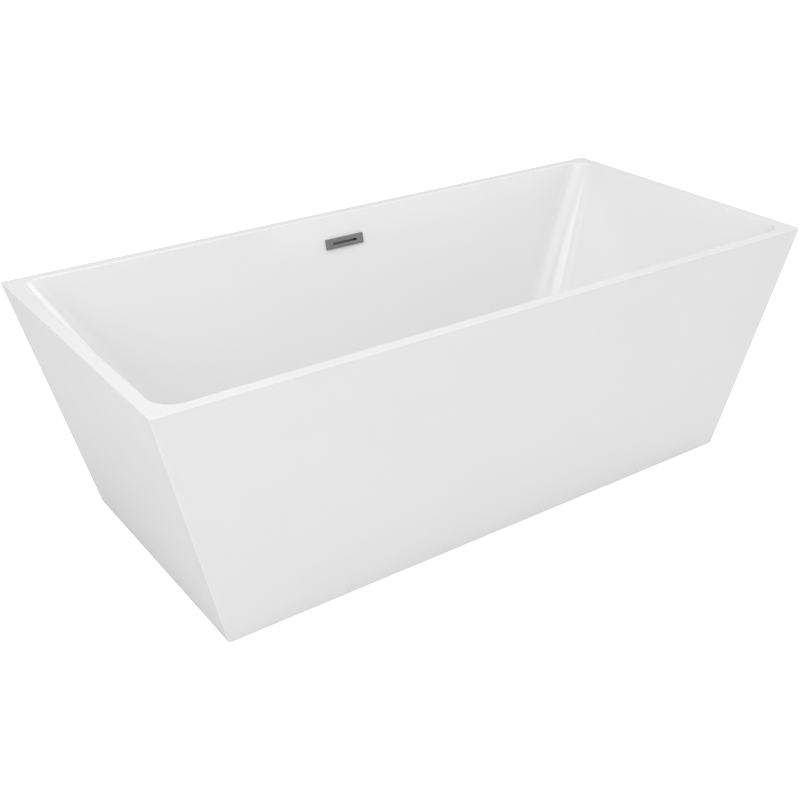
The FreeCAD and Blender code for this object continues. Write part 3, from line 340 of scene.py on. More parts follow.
def grain_group():
    """A node group: streaks drawn out by a stretch of the object coordinates."""
    group = bpy.data.node_groups.new("drawn grain", "ShaderNodeTree")
    entries = {"Stretch": "NodeSocketVector", "Turn": "NodeSocketVector",
               "Detail": "NodeSocketFloat", "Warp": "NodeSocketFloat"}
    for name, kind in entries.items():
        group.interface.new_socket(name, in_out="INPUT", socket_type=kind)
    group.interface.new_socket("Value", in_out="OUTPUT", socket_type="NodeSocketFloat")
    nodes, links = group.nodes, group.links
    entry, exit_ = nodes.new("NodeGroupInput"), nodes.new("NodeGroupOutput")
    place, turn = nodes.new("ShaderNodeTexCoord"), nodes.new("ShaderNodeVectorRotate")
    turn.rotation_type = "EULER_XYZ"
    pull = nodes.new("ShaderNodeVectorMath")
    pull.operation = "MULTIPLY"
    noise = nodes.new("ShaderNodeTexNoise")
    noise.inputs["Scale"].default_value = 1.0
    spread = nodes.new("ShaderNodeMapRange")
    spread.inputs["From Min"].default_value = 0.3
    spread.inputs["From Max"].default_value = 0.7
    links.new(place.outputs["Object"], turn.inputs["Vector"])
    links.new(entry.outputs["Turn"], turn.inputs["Rotation"])
    links.new(turn.outputs["Vector"], pull.inputs[0])
    links.new(entry.outputs["Stretch"], pull.inputs[1])
    links.new(pull.outputs["Vector"], noise.inputs["Vector"])
    links.new(entry.outputs["Detail"], noise.inputs["Detail"])
    links.new(entry.outputs["Warp"], noise.inputs["Distortion"])
    links.new(noise.outputs["Fac"], spread.inputs["Value"])
    links.new(spread.outputs["Result"], exit_.inputs["Value"])
    return group


drawn_grain = grain_group()


def grain(tree, stretch, turn=(0, 0, 0), detail=3.0, warp=0.0):
    """The drawn grain as a value from 0 to 1."""
    node = tree.nodes.new("ShaderNodeGroup")
    node.node_tree = drawn_grain
    for name, value in (("Stretch", stretch), ("Turn", turn), ("Detail", detail), ("Warp", warp)):
        node.inputs[name].default_value = value
    return node.outputs["Value"]


def joined(tree, kind, one, other):
    """The two values put together by a sum, a product, the larger of them, and so on."""
    node = tree.nodes.new("ShaderNodeMath")
    node.operation = kind
    tree.links.new(one, node.inputs[0])
    if isinstance(other, float):
        node.inputs[1].default_value = other
    else:
        tree.links.new(other, node.inputs[1])
    return node.outputs["Value"]


def clad(material, *names):
    """Puts a material on solids that keep their own shape."""
    for name in names:
        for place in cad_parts[name].material_slots:
            place.material = material


def glass_fibre_material():
    material, tree, shader = new_material("rolled glass fibre and resin")
    strands = grain(tree, (40, 900, 900), (0.0, 0.0, 0.6))
    for turn in ((0.5, 0.2, -0.7), (-0.4, 0.6, 2.0), (0.9, -0.5, 1.3)):
        strands = joined(tree, "MAXIMUM", strands, grain(tree, (45, 800, 850), turn))
    colour = tinted(tree, strands, (0.50, 0.47, 0.36), (0.78, 0.75, 0.64))
    thick = tinted(tree, mottle(tree, 11.0, 0.0, 0.5), (0.5, 0.5, 0.5), (0.42, 0.38, 0.27))
    blend = tree.nodes.new("ShaderNodeMix")
    blend.data_type, blend.blend_type = "RGBA", "SOFT_LIGHT"
    blend.inputs["Factor"].default_value = 0.6
    tree.links.new(colour, blend.inputs["A"])
    tree.links.new(thick, blend.inputs["B"])
    tree.links.new(blend.outputs["Result"], shader.inputs["Base Color"])
    tree.links.new(mottle(tree, 60.0, 0.35, 0.62), shader.inputs["Roughness"])
    lumps = bump(tree, mottle(tree, 38.0, 0.0, 1.0, 4.0), 0.0012)
    tree.links.new(bump(tree, strands, 0.0003, lumps), shader.inputs["Normal"])
    return material


glass_fibre = glass_fibre_material()
clad(glass_fibre, "basin_laminate")


# ---- Base board ---------------------------------------------------------------------------------
# A birch plywood board is bedded in the backing under the floor and carries the tub's weight to the
# crossbars. Its veneers show as fine stripes along the sawn edges and round the cutout.

board_ply = 0.00136


def plywood_material():
    material, tree, shader = new_material("birch plywood")
    figure = grain(tree, (7, 120, 120), detail=5.0, warp=0.6)
    pores = grain(tree, (30, 1500, 1500), detail=2.0)
    face = tinted(tree, figure, (0.47, 0.31, 0.16), (0.66, 0.48, 0.28))
    place, parts = tree.nodes.new("ShaderNodeTexCoord"), tree.nodes.new("ShaderNodeSeparateXYZ")
    tree.links.new(place.outputs["Object"], parts.inputs["Vector"])
    plies = joined(tree, "FRACT", joined(tree, "DIVIDE", parts.outputs["Z"], 2 * board_ply), 0.0)
    dark_ply = joined(tree, "GREATER_THAN", plies, 0.5)
    edge = tinted(tree, dark_ply, (0.60, 0.44, 0.26), (0.34, 0.21, 0.10))
    shape, slant = tree.nodes.new("ShaderNodeNewGeometry"), tree.nodes.new("ShaderNodeSeparateXYZ")
    tree.links.new(shape.outputs["True Normal"], slant.inputs["Vector"])
    level = joined(tree, "GREATER_THAN", joined(tree, "ABSOLUTE", slant.outputs["Z"], 0.0), 0.7)
    choose = tree.nodes.new("ShaderNodeMix")
    choose.data_type = "RGBA"
    tree.links.new(level, choose.inputs["Factor"])
    tree.links.new(edge, choose.inputs["A"])
    tree.links.new(face, choose.inputs["B"])
    tree.links.new(choose.outputs["Result"], shader.inputs["Base Color"])
    tree.links.new(mottle(tree, 80.0, 0.52, 0.72), shader.inputs["Roughness"])
    ridges = bump(tree, plies, 0.00025, strength=0.5)
    tree.links.new(bump(tree, pores, 0.00012, ridges), shader.inputs["Normal"])
    return material


clad(plywood_material(), "base_board")


# ---- Crossbars and their screws -----------------------------------------------------------------
# Four square steel tubes lie across the tub under the board, galvanised, with the crystal pattern of
# the zinc showing. Domed zinc-plated screws go up through them into the board.


def galvanised_material():
    material, tree, shader = new_material("galvanised steel")
    place, crystals = tree.nodes.new("ShaderNodeTexCoord"), tree.nodes.new("ShaderNodeTexVoronoi")
    crystals.inputs["Scale"].default_value = 95.0
    tree.links.new(place.outputs["Object"], crystals.inputs["Vector"])
    shade = tree.nodes.new("ShaderNodeSeparateColor")
    tree.links.new(crystals.outputs["Color"], shade.inputs["Color"])
    cloud = joined(tree, "MULTIPLY", shade.outputs["Red"], mottle(tree, 30.0, 0.55, 1.0))
    shader.inputs["Metallic"].default_value = 0.92
    tree.links.new(tinted(tree, cloud, (0.40, 0.42, 0.44), (0.70, 0.72, 0.74)), shader.inputs["Base Color"])
    rough = tree.nodes.new("ShaderNodeMapRange")
    rough.inputs["To Min"].default_value = 0.30
    rough.inputs["To Max"].default_value = 0.52
    tree.links.new(shade.outputs["Green"], rough.inputs["Value"])
    tree.links.new(rough.outputs["Result"], shader.inputs["Roughness"])
    tree.links.new(bump(tree, mottle(tree, 240.0, 0.0, 1.0), 0.00005), shader.inputs["Normal"])
    return material


def plated_material(name, dark, light, rough, lines):
    """A bright metal with the marks of tools or drawing left in it, spaced by lines."""
    material, tree, shader = new_material(name)
    shader.inputs["Metallic"].default_value = 1.0
    marks = grain(tree, lines, detail=2.0)
    tree.links.new(tinted(tree, joined(tree, "MULTIPLY", marks, mottle(tree, 35.0, 0.6, 1.0)), dark, light),
                   shader.inputs["Base Color"])
    tree.links.new(mottle(tree, 150.0, *rough), shader.inputs["Roughness"])
    tree.links.new(bump(tree, marks, 0.00002), shader.inputs["Normal"])
    return material


galvanised = galvanised_material()
zinc_plate = plated_material("bright zinc plating", (0.50, 0.51, 0.50), (0.76, 0.76, 0.72),
                             (0.20, 0.36), (60, 60, 2600))
clad(galvanised, "crossbar_1", "crossbar_2", "crossbar_3", "crossbar_4")

bar_x = (-0.500, -0.170, 0.170, 0.500)
bar_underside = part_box("crossbar_1")[0].z
bar_screw_y = (0.0695, 0.153)
bar_screw_radius, bar_screw_head = 0.0045, 0.003


def eased(profile, radius, closed):
    """The profile with each of its corners rounded by a short curve."""
    points, last = [], len(profile) - 1
    for i, corner in enumerate(profile):
        if not closed and i in (0, last):
            points.append(Vector(corner))
            continue
        here = Vector(corner)
        back = Vector(profile[i - 1]) - here
        on = Vector(profile[(i + 1) % len(profile)]) - here
        start = here + back.normalized() * min(radius, back.length * 0.45)
        end = here + on.normalized() * min(radius, on.length * 0.45)
        for t in (0.0, 0.33, 0.67, 1.0):
            points.append(start * (1 - t) ** 2 + here * 2 * t * (1 - t) + end * t ** 2)
    return points


def turn_profile(bm, profile, closed, radius=0.0003, place=(0, 0, 0), steps=64):
    """Adds a turned shape: a profile of (radius, height), spun round the upright axis at a place."""
    before = set(bm.verts)
    points = [(r, 0, z) for r, z in eased(profile, radius, closed)]
    verts = [bm.verts.new(point) for point in points]
    edges = [bm.edges.new(pair) for pair in zip(verts, verts[1:] + verts[:1] if closed else verts[1:])]
    bmesh.ops.spin(bm, geom=verts + edges, axis=(0, 0, 1), cent=(0, 0, 0), angle=2 * math.pi, steps=steps,
                   use_merge=True)
    made = [vert for vert in bm.verts if vert not in before]
    bmesh.ops.remove_doubles(bm, verts=made, dist=1e-7)
    made = [vert for vert in bm.verts if vert not in before]
    bmesh.ops.translate(bm, vec=place, verts=made)
    return made


def bar_screw_mesh():
    """The heads with their round sockets, and the shanks inside the bars."""
    bm = bmesh.new()
    low, top = bar_underside - bar_screw_head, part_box("bar_screws")[1].z
    profile = [(0, low + 0.0016), (0.0016, low + 0.0016), (0.0019, low),
               (bar_screw_radius - 0.0012, low), (bar_screw_radius, low + 0.0014),
               (bar_screw_radius, bar_underside), (0.00225, bar_underside), (0.00225, top - 0.003), (0, top)]
    for x in bar_x:
        for y in [side * y for y in bar_screw_y for side in (-1, 1)]:
            turn_profile(bm, profile, False, place=(x, y, 0), steps=24)
    return finished(bm)


bar_screws = new_piece(bar_screw_mesh(), "socket_bar_screws", "tub")
bar_screws.data.materials.append(zinc_plate)
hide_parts("bar_screws")


# ---- Skirt --------------------------------------------------------------------------------------
# The skirt is the tapering outside: four flat panels of the same acrylic, with a flange turned in
# under the rim, where it is bonded. It stands two millimetres clear of the floor.

skirt_sheet = 0.004
skirt_flange = 0.004
flange_gap = 0.009                   # from the basin's inside to the flange's inner edge
hem_rounding = 0.0025
inner_edge_radius = 0.0015
hem_steps = 6


def skirt_mesh():
    """The flange, down the outside, round the hem and up the inside to the flange again."""
    bm = bmesh.new()
    top = tub_height - rim_thickness
    loops = [rounded_loop(bm, *wall_half(top, flange_gap), wall_radius(top, flange_gap), top),
             rounded_loop(bm, *skirt_half(top, flange_ease), upright_edge_radius, top),
             rounded_loop(bm, *skirt_half(top - flange_ease), upright_edge_radius, top - flange_ease)]
    for share in (0.75, 0.5, 0.25):
        z = skirt_bottom + (top - skirt_bottom) * share
        loops.append(rounded_loop(bm, *skirt_half(z), upright_edge_radius, z))
    for step in range(hem_steps + 1):
        angle = math.pi / 2 * step / hem_steps
        z = skirt_bottom + hem_rounding * (1 - math.sin(angle))
        inset = hem_rounding * (1 - math.cos(angle))
        loops.append(rounded_loop(bm, *skirt_half(skirt_bottom + hem_rounding, inset),
                                  upright_edge_radius - inset, z))
    low = skirt_bottom
    high = top - skirt_flange
    loops += [rounded_loop(bm, *skirt_half(low, skirt_sheet), inner_edge_radius, low),
              rounded_loop(bm, *skirt_half(high, skirt_sheet), inner_edge_radius, high),
              rounded_loop(bm, *wall_half(high, flange_gap), wall_radius(high, flange_gap), high)]
    skin_loops(bm, loops)
    return finished(bm)


skirt = new_piece(skirt_mesh(), "skirt_shell", "tub")
even_normals(skirt)
skirt.data.materials.append(gloss_acrylic)
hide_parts("skirt")
clad(glass_fibre, "skirt_laminate")


# ---- Battens ------------------------------------------------------------------------------------
# Four planed softwood battens are bonded round the inside of the skirt's foot. They stiffen it and
# give the brackets something to screw into. The grain runs along each.


def softwood_material(name, along):
    material, tree, shader = new_material(name)
    wide = tuple(3 if axis == along else 95 for axis in range(3))
    fine = tuple(20 if axis == along else 1400 for axis in range(3))
    drawn = grain(tree, wide, detail=2.0, warp=0.3)
    rings = joined(tree, "FRACT", joined(tree, "MULTIPLY", drawn, 5.0), 0.0)
    wood = tinted(tree, rings, (0.72, 0.52, 0.29), (0.50, 0.29, 0.12))
    tree.links.new(wood, shader.inputs["Base Color"])
    tree.links.new(mottle(tree, 70.0, 0.55, 0.75), shader.inputs["Roughness"])
    ridges = bump(tree, rings, 0.00012)
    tree.links.new(bump(tree, grain(tree, fine, detail=2.0), 0.00008, ridges), shader.inputs["Normal"])
    return material


clad(softwood_material("softwood along the tub", 0), "batten_front", "batten_rear")
clad(softwood_material("softwood across the tub", 1), "batten_left", "batten_right")


# ---- Brackets and their screws ------------------------------------------------------------------
# Eight strips of galvanised steel, bent to a right angle, tie the ends of the crossbars to the
# battens, with one plated screw through each leg.

clad(galvanised, "skirt_brackets")
clad(zinc_plate, "bracket_bar_screws", "bracket_batten_screws")


# ---- Levelling feet -----------------------------------------------------------------------------
# Each foot is a zinc-plated threaded stud that turns in a nut welded under the crossbar, with a
# lock nut below it and a hexagon for a spanner. Its head sits in a moulded rubber pad.

feet = ((-0.500, -0.200), (-0.500, 0.200), (-0.170, 0.0), (0.170, 0.0), (0.500, -0.200), (0.500, 0.200))
stud_radius, stud_head_radius = 0.006, 0.009
stud_head = (0.003, 0.007)
stud_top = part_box("foot_stud_1")[1].z
stud_hexagon = (0.015, 0.023)
stud_across_flats = 0.014
thread_pitch, thread_depth = 0.00175, 0.0009
pad_radius, pad_height, pad_band = 0.025, 0.013, 0.0045
pad_neck, pad_shoulder = 0.0108, 0.013
pad_steps = 5
pad_grooves = (0.0195, 0.0145, 0.0095)
clearance = 0.00008


def stud_mesh(x, y):
    """A round head, a hexagon for the spanner and a ridged thread up to the top."""
    bm = bmesh.new()
    profile = [(0, stud_head[0]), (stud_head_radius, stud_head[0]), (stud_head_radius, stud_head[1]),
               (stud_radius - thread_depth, stud_head[1])]
    z = stud_hexagon[1] + 0.001
    profile += [(stud_radius - thread_depth, z)]
    while z < stud_top - 2 * thread_pitch:
        profile += [(stud_radius, z + 0.42 * thread_pitch), (stud_radius, z + 0.58 * thread_pitch),
                    (stud_radius - thread_depth, z + thread_pitch)]
        z += thread_pitch
    profile += [(stud_radius - thread_depth, stud_top), (0, stud_top)]
    turn_profile(bm, profile, False, 0.0001, (x, y, 0), 28)
    grip = bmesh.ops.create_circle(bm, cap_ends=True, segments=6, radius=stud_across_flats / math.sqrt(3),
                                   matrix=Matrix.Translation((x, y, stud_hexagon[0])))["verts"]
    face = grip[0].link_faces[0]
    lifted = bmesh.ops.extrude_face_region(bm, geom=[face], use_keep_orig=True)["geom"]
    top = [item for item in lifted if isinstance(item, bmesh.types.BMVert)]
    bmesh.ops.translate(bm, vec=(0, 0, stud_hexagon[1] - stud_hexagon[0]), verts=top)
    rims = [edge for vert in grip + top for edge in vert.link_edges]
    bmesh.ops.bevel(bm, geom=list(set(rims)), offset=0.0005, affect="EDGES",
                    segments=2, profile=0.5, material=-1)
    return finished(bm)


def pad_mesh(x, y):
    """A pad with a pocket for the stud's head, ribs on its slope and grooves underneath."""
    bm = bmesh.new()
    low, high = stud_head[0] - clearance, stud_head[1] + clearance
    pocket, neck = stud_head_radius + clearance, stud_radius + clearance
    profile = [(0, low), (pocket, low), (pocket, high), (neck, high), (neck, pad_height),
               (pad_neck, pad_height), (pad_shoulder, pad_height)]
    for step in range(1, pad_steps):
        r = pad_shoulder + (pad_radius - pad_shoulder) * step / pad_steps
        z = pad_height - (pad_height - pad_band) * step / pad_steps
        profile += [(r - 0.0006, z + 0.0004), (r - 0.0003, z - 0.0006), (r + 0.0005, z - 0.0006)]
    profile += [(pad_radius, pad_band), (pad_radius, 0.002), (pad_radius - 0.002, 0)]
    for r in pad_grooves:
        profile += [(r + 0.001, 0), (r + 0.0007, 0.001), (r - 0.0007, 0.001), (r - 0.001, 0)]
    profile.append((0, 0))
    turn_profile(bm, profile, False, 0.0003, (x, y, 0), 48)
    return finished(bm)


def moulded_material(name, dark, light, rough, grain_size, depth):
    """A moulded plastic or rubber: faint clouds of colour and the fine grain of its mould."""
    material, tree, shader = new_material(name)
    tree.links.new(tinted(tree, mottle(tree, 22.0, 0.0, 1.0), dark, light), shader.inputs["Base Color"])
    tree.links.new(mottle(tree, 90.0, *rough), shader.inputs["Roughness"])
    flow = bump(tree, mottle(tree, 25.0, 0.0, 1.0, 1.0), depth * 3)
    mould = bump(tree, mottle(tree, grain_size, 0.0, 1.0, 2.0), depth, flow)
    tree.links.new(mould, shader.inputs["Normal"])
    return material


black_rubber = moulded_material("moulded black rubber", (0.022, 0.022, 0.023), (0.048, 0.047, 0.046),
                                (0.58, 0.80), 900.0, 0.00006)
for number, (x, y) in enumerate(feet, 1):
    stud = new_piece(stud_mesh(x, y), f"threaded_stud_{number}", f"stud_{number}")
    stud.data.materials.append(zinc_plate)
    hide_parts(f"foot_stud_{number}")
    pad = new_piece(pad_mesh(x, y), f"ribbed_pad_{number}", f"foot_{number}")
    pad.data.materials.append(black_rubber)
    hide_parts(f"foot_pad_{number}")
clad(galvanised, "weld_nuts")
clad(zinc_plate, "lock_nuts")


# ---- Drain flange -------------------------------------------------------------------------------
# The drain flange is turned brass with chrome plating. It drops into the recess of the floor on a
# rubber gasket, and screws down into the waste body. Four ribs carry the hub of the plug.

flange_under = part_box("drain_gasket")[1].z
flange_top = flange_under + 0.0025
flange_radius, flange_tube, flange_bore = 0.040, 0.0235, 0.0205
flange_tube_end = flange_under - 0.030
flange_seat = 0.003
hub_radius, rib_width = 0.0075, 0.003
rib_low, rib_high = flange_tube_end + 0.006, flange_tube_end + 0.012


def flange_mesh():
    """The dished ring and its tube, the hub, and four ribs from the tube to the hub."""
    bm = bmesh.new()
    ring = [(flange_bore, flange_tube_end), (flange_tube, flange_tube_end), (flange_tube, flange_under),
            (flange_radius, flange_under), (flange_radius, flange_top - 0.001),
            (flange_radius - 0.001, flange_top), (flange_bore + flange_seat, flange_top),
            (flange_bore, flange_top - flange_seat)]
    turn_profile(bm, ring, True, 0.0006, steps=96)
    hub = [(hub_radius, rib_low), (hub_radius + rib_width, rib_low),
           (hub_radius + rib_width, rib_high), (hub_radius, rib_high)]
    turn_profile(bm, hub, True, 0.0005)
    length = flange_bore + 0.001 - hub_radius - rib_width / 2
    for quarter in range(4):
        before = set(bm.edges)
        bar = Matrix.Rotation(quarter * math.pi / 2, 4, "Z") \
            @ Matrix.Translation((hub_radius + rib_width / 2 + length / 2, 0, (rib_low + rib_high) / 2)) \
            @ Matrix.Diagonal((length, rib_width, rib_high - rib_low, 1))
        bmesh.ops.create_cube(bm, size=1.0, matrix=bar)
        edges = [edge for edge in bm.edges if edge not in before]
        bmesh.ops.bevel(bm, geom=edges, offset=0.0006, affect="EDGES", segments=3, profile=0.5, material=-1)
    return finished(bm)


def chrome_material():
    material, tree, shader = new_material("chrome plating")
    shader.inputs["Metallic"].default_value = 1.0
    tree.links.new(tinted(tree, mottle(tree, 16.0, 0.0, 1.0), (0.76, 0.77, 0.78), (0.84, 0.85, 0.86)),
                   shader.inputs["Base Color"])
    tree.links.new(mottle(tree, 70.0, 0.03, 0.10), shader.inputs["Roughness"])
    tree.links.new(bump(tree, mottle(tree, 110.0, 0.0, 1.0, 2.0), 0.000008), shader.inputs["Normal"])
    return material


chrome = chrome_material()
flange = new_piece(flange_mesh(), "ribbed_drain_flange", "tub")
flange.data.materials.append(chrome)
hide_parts("drain_flange")
clad(black_rubber, "drain_gasket")


# ---- Click plug ---------------------------------------------------------------------------------
# A press on the chromed cap makes the plug rise or fall: its brass stem slides in a brass cartridge
# against a small spring. A rubber ring under the cap closes on the flange.

cap_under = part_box("plug_cap")[0].z
cap_sheet_under = cap_under + 0.0026
cap_crown = cap_sheet_under + 0.0024
cap_radius, cap_lip, cap_edge, cap_rise = 0.032, 0.0015, 0.0012, 0.0016
dome_steps = 10


def cap_mesh():
    """A shallow dome of sheet with its lip turned down."""
    bm = bmesh.new()
    profile = [(0, cap_sheet_under), (cap_radius - cap_lip, cap_sheet_under),
               (cap_radius - cap_lip, cap_under), (cap_radius, cap_under),
               (cap_radius, cap_crown - cap_edge), (cap_radius - cap_edge, cap_crown)]
    for step in range(1, dome_steps + 1):
        left = 1 - step / dome_steps
        profile.append(((cap_radius - cap_edge) * left, cap_crown + cap_rise * (1 - left ** 2)))
    turn_profile(bm, profile, False, 0.0006, steps=96)
    return finished(bm)


cap = new_piece(cap_mesh(), "domed_plug_cap", "plug", 40)
cap.data.materials.append(chrome)
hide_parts("plug_cap")
clad(black_rubber, "plug_seal")
clad(plated_material("turned brass", (0.50, 0.34, 0.12), (0.74, 0.56, 0.26), (0.22, 0.38), (40, 40, 3200)),
     "plug_stem", "click_cartridge")
clad(plated_material("drawn spring wire", (0.36, 0.36, 0.37), (0.60, 0.60, 0.61), (0.24, 0.36),
                     (900, 900, 900)), "click_spring")


# ---- Waste body ---------------------------------------------------------------------------------
# The cup under the floor, moulded in white polypropylene, with a rubber ring on top. It takes the
# drain's water down its threaded tail, and the overflow's water in through its side branch.

white_plastic = moulded_material("moulded white polypropylene", (0.74, 0.74, 0.71), (0.84, 0.84, 0.81),
                                 (0.30, 0.44), 500.0, 0.00003)
clad(white_plastic, "waste_body")
clad(black_rubber, "waste_seal")


# ---- Trap ---------------------------------------------------------------------------------------
# A low trap of the same plastic holds the water that keeps out smells. Its grooved nut lets it
# swivel under the waste, and it has a nut for the pipe and a cap for cleaning it out.

clad(white_plastic, "union_nut", "trap_body", "outlet_nut", "cleanout_cap")
clad(black_rubber, "union_washer", "outlet_seal", "cleanout_seal")


# ---- Overflow behind the wall -------------------------------------------------------------------
# A black moulded chassis reaches through the wall, and two screws draw it to the white funnel behind,
# with a rubber gasket between the funnel and the back of the tub.

clad(moulded_material("moulded black polypropylene", (0.012, 0.012, 0.013), (0.022, 0.022, 0.023),
                      (0.45, 0.60), 500.0, 0.00003), "overflow_chassis")
clad(white_plastic, "overflow_body")
clad(black_rubber, "overflow_gasket")
clad(zinc_plate, "overflow_screws")


# ---- Overflow plate -----------------------------------------------------------------------------
# The overflow plate is a shallow tray of stainless sheet, folded back at its four edges, brushed
# along its length, with one slot punched through it. It clips on to the chassis behind.

plate_half = (0.0545, 0.013)
plate_depth = 0.005
plate_sheet = 0.0015
plate_edge = 0.0006
plate_corner, fold_corner = 0.0008, 0.0004
plate_edge_steps = 4
slot_half = (0.037, 0.0025)


def overflow_plate_mesh():
    """The folded edges, the front with its slot, and back along the inside."""
    bm = bmesh.new()
    front = plate_depth
    loops = []
    sheet = [half - plate_sheet for half in plate_half]
    loops.append(rounded_loop(bm, *sheet, fold_corner, 0.0))
    loops.append(rounded_loop(bm, *plate_half, plate_corner, 0.0))
    for step in range(plate_edge_steps + 1):
        angle = math.pi / 2 * step / plate_edge_steps
        inset = plate_edge * (1 - math.cos(angle))
        z = front - plate_edge * (1 - math.sin(angle))
        loops.append(rounded_loop(bm, *[half - inset for half in plate_half], plate_corner - inset / 2, z))
    steps = [(0.0002, 0.0), (0.00006, 0.00006), (0.0, 0.0002), (0.0, plate_sheet)]
    for out, down in steps:
        long_half, short_half = slot_half[0] + out, slot_half[1] + out
        loops.append(rounded_loop(bm, long_half, short_half, short_half - hair, front - down))
    loops.append(rounded_loop(bm, *sheet, fold_corner, front - plate_sheet))
    skin_loops(bm, loops)
    bmesh.ops.transform(bm, matrix=wall_place, verts=bm.verts)
    return finished(bm)


def brushed_material():
    material, tree, shader = new_material("brushed stainless sheet")
    shader.inputs["Metallic"].default_value = 1.0
    shader.inputs["Anisotropic"].default_value = 0.5
    place, stretch = tree.nodes.new("ShaderNodeTexCoord"), tree.nodes.new("ShaderNodeMapping")
    stretch.inputs["Scale"].default_value = (12, 1800, 1800)
    streaks = tree.nodes.new("ShaderNodeTexNoise")
    streaks.inputs["Scale"].default_value = 1.0
    streaks.inputs["Detail"].default_value = 4.0
    tree.links.new(place.outputs["Object"], stretch.inputs["Vector"])
    tree.links.new(stretch.outputs["Vector"], streaks.inputs["Vector"])
    tree.links.new(tinted(tree, streaks.outputs["Fac"], (0.215, 0.215, 0.22), (0.335, 0.335, 0.34)),
                   shader.inputs["Base Color"])
    rough = tree.nodes.new("ShaderNodeMapRange")
    rough.inputs["To Min"].default_value = 0.30
    rough.inputs["To Max"].default_value = 0.46
    tree.links.new(streaks.outputs["Fac"], rough.inputs["Value"])
    tree.links.new(rough.outputs["Result"], shader.inputs["Roughness"])
    tree.links.new(bump(tree, streaks.outputs["Fac"], 0.00002), shader.inputs["Normal"])
    return material


plate = new_piece(overflow_plate_mesh(), "slot_overflow_plate", "tub")
plate.data.materials.append(brushed_material())
even_normals(plate)
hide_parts("overflow_plate")


# ---- Overflow hose ------------------------------------------------------------------------------
# A corrugated grey hose leads the overflow's water down behind the tub to the waste. Its smooth
# cuffs push over the two spigots, each held by a galvanised clamp.

hose_outer, hose_bore, hose_valley = 0.0125, 0.010, 0.0109
hose_pitch, hose_cuff = 0.0050, 0.030
rings_per_wave, ring_points = 8, 32
hose_bend, hose_lap = 0.080, 0.022
branch_end, branch_height = 0.068, 0.098
spigot_end, spigot_behind = 0.100, 0.022


def hose_route():
    """The hose's axis as points with the way it runs there, evenly spaced from the top end down."""
    up = Vector((0, math.sin(wall_lean[1]), math.cos(wall_lean[1])))
    out = Vector((0, up.z, -up.y))
    upper = overflow_centre - up * (spigot_end - hose_lap) + out * spigot_behind
    corner = upper - up * ((upper.z - branch_height) / up.z)
    lower = Vector((0, branch_end - hose_lap, branch_height))
    turn = (-up).angle(lower - corner)
    tangent = hose_bend * math.tan(turn / 2)
    start, end = corner + up * tangent, corner + (lower - corner).normalized() * tangent
    straight, curve, level = (upper - start).length, hose_bend * turn, (end - lower).length
    side = (lower - corner).normalized()
    centre = start + (side + up * side.dot(-up)).normalized() * hose_bend
    length = straight + curve + level
    steps = rings_per_wave * round(length / hose_pitch)
    route = []
    for step in range(steps + 1):
        run = length * step / steps
        if run <= straight:
            route.append((run, upper - up * run, -up))
        elif run <= straight + curve:
            spin = Matrix.Rotation(-(run - straight) / hose_bend, 4, "X")
            route.append((run, centre + spin @ (start - centre), spin @ -up))
        else:
            way = (lower - end).normalized()
            route.append((run, end + way * (run - straight - curve), way))
    return route, length


def hose_mesh():
    """The waved outside between two smooth cuffs, and the smooth bore."""
    bm = bmesh.new()
    route, length = hose_route()
    loops = []

    def add_ring(radius, point, way):
        place = Matrix.Translation(point) @ way.to_track_quat("Z", "X").to_matrix().to_4x4()
        verts = bmesh.ops.create_circle(bm, segments=ring_points, radius=radius, matrix=place)["verts"]
        loops.append(list({edge for vert in verts for edge in vert.link_edges}))

    for run, point, way in route:
        from_end = min(run, length - run) - hose_cuff
        wave = 0.5 - 0.5 * math.cos(2 * math.pi * run / hose_pitch)
        fade = min(max(from_end / (2 * hose_pitch), 0.0), 1.0)
        add_ring(hose_outer - (hose_outer - hose_valley) * wave * fade, point, way)
    for run, point, way in reversed(route[::rings_per_wave]):
        add_ring(hose_bore, point, way)
    skin_loops(bm, loops)
    return finished(bm)


hose = new_piece(hose_mesh(), "corrugated_overflow_hose", "tub", 60)
grey_hose = moulded_material("moulded grey hose", (0.34, 0.35, 0.36), (0.46, 0.47, 0.48),
                             (0.36, 0.52), 400.0, 0.00004)
hose.data.materials.append(grey_hose)
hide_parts("overflow_hose")
clad(galvanised, "hose_clamp_upper", "hose_clamp_lower")


# ---- Floor, light and camera --------------------------------------------------------------------
# A plain pale floor under a white surround, with soft panels round the tub as in a studio. The floor
# is seen only from above, so that the underside can be looked at.

floor_glow_seen = 0.60
surround_light, surround_seen = 0.51, 1.0
floor_half = 30
panel_aim = Vector((0, 0, 0.4))
camera_place = (-1.49390, -1.97065, 1.49004)
camera_fall, camera_bearing = 27.70, -34.67
camera_lens, camera_sensor = 51.764, 36
camera_shift = (0.0294, 0.0027)
# For each panel its place, its size, and its watts.
panels = {"panel above": ((0, 0, 3.4), (3.0, 3.0), 19),
          "panel high front": ((-0.2, -2.6, 3.0), (2.5, 2.0), 20),
          "panel high left": ((-3.0, -0.4, 2.8), (2.0, 2.0), 29),
          "panel high right": ((3.0, 0.2, 2.8), (2.0, 2.0), 11),
          "panel high behind": ((0, 2.8, 2.8), (2.5, 2.0), 2),
          "panel front left": ((-3.0, -3.4, 1.2), (2.5, 2.0), 22),
          "panel front right": ((3.2, -3.6, 1.2), (2.5, 2.0), 10),
          "panel right": ((4.2, 0.2, 1.2), (2.5, 2.0), 43),
          "panel beneath": ((0, 0, 0.0008), (1.4, 0.5), 1.7)}


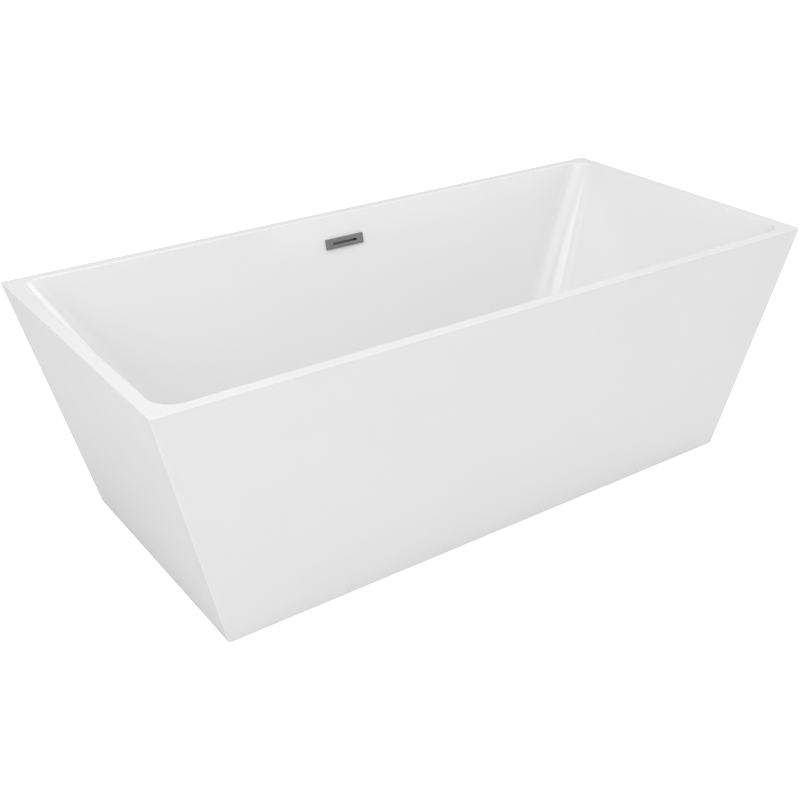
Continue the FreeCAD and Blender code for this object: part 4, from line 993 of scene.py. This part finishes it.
def seen_or_lit(tree, lit, seen):
    """A strength with one value for light that falls on things, and another where it is looked at."""
    path, choose = tree.nodes.new("ShaderNodeLightPath"), tree.nodes.new("ShaderNodeMapRange")
    choose.inputs["To Min"].default_value = lit
    choose.inputs["To Max"].default_value = seen
    tree.links.new(path.outputs["Is Camera Ray"], choose.inputs["Value"])
    return choose.outputs["Result"]


def studio_floor():
    bm = bmesh.new()
    bmesh.ops.create_grid(bm, x_segments=1, y_segments=1, size=floor_half)
    mesh = bpy.data.meshes.new("studio floor")
    bm.to_mesh(mesh)
    bm.free()
    floor = bpy.data.objects.new("studio floor", mesh)
    bpy.context.scene.collection.objects.link(floor)
    material, tree, shader = new_material("pale floor")
    shader.inputs["Base Color"].default_value = (0.85, 0.85, 0.85, 1)
    shader.inputs["Roughness"].default_value = 0.9
    shader.inputs["Emission Color"].default_value = (1, 1, 1, 1)
    tree.links.new(seen_or_lit(tree, 0.0, floor_glow_seen), shader.inputs["Emission Strength"])
    clear, either = tree.nodes.new("ShaderNodeBsdfTransparent"), tree.nodes.new("ShaderNodeMixShader")
    side = tree.nodes.new("ShaderNodeNewGeometry")
    tree.links.new(side.outputs["Backfacing"], either.inputs["Fac"])
    tree.links.new(shader.outputs["BSDF"], either.inputs[1])
    tree.links.new(clear.outputs["BSDF"], either.inputs[2])
    tree.links.new(either.outputs["Shader"], tree.nodes["Material Output"].inputs["Surface"])
    mesh.materials.append(material)


def soft_panel(name, place, size, watts):
    light = bpy.data.lights.new(name, "AREA")
    light.shape = "RECTANGLE"
    light.size, light.size_y = size
    light.energy = watts
    panel = bpy.data.objects.new(name, light)
    panel.location = place
    aim = panel_aim - Vector(place)
    panel.rotation_euler = aim.to_track_quat("-Z", "Y").to_euler()
    bpy.context.scene.collection.objects.link(panel)


studio_floor()
for name, (place, size, watts) in panels.items():
    soft_panel(name, place, size, watts)
surround = bpy.data.worlds.new("white surround")
bpy.context.scene.world = surround
surround.use_nodes = True
backdrop = surround.node_tree.nodes["Background"]
backdrop.inputs["Color"].default_value = (1, 1, 1, 1)
strength = seen_or_lit(surround.node_tree, surround_light, surround_seen)
surround.node_tree.links.new(strength, backdrop.inputs["Strength"])

camera_data = bpy.data.cameras.new("camera")
camera_data.sensor_width = camera_sensor
camera_data.lens = camera_lens
camera_data.shift_x, camera_data.shift_y = camera_shift
camera = bpy.data.objects.new("camera", camera_data)
camera.location = camera_place
camera.rotation_euler = (math.radians(90 - camera_fall), 0, math.radians(camera_bearing))
bpy.context.scene.collection.objects.link(camera)
bpy.context.scene.camera = camera
bpy.context.scene.view_settings.view_transform = "Standard"
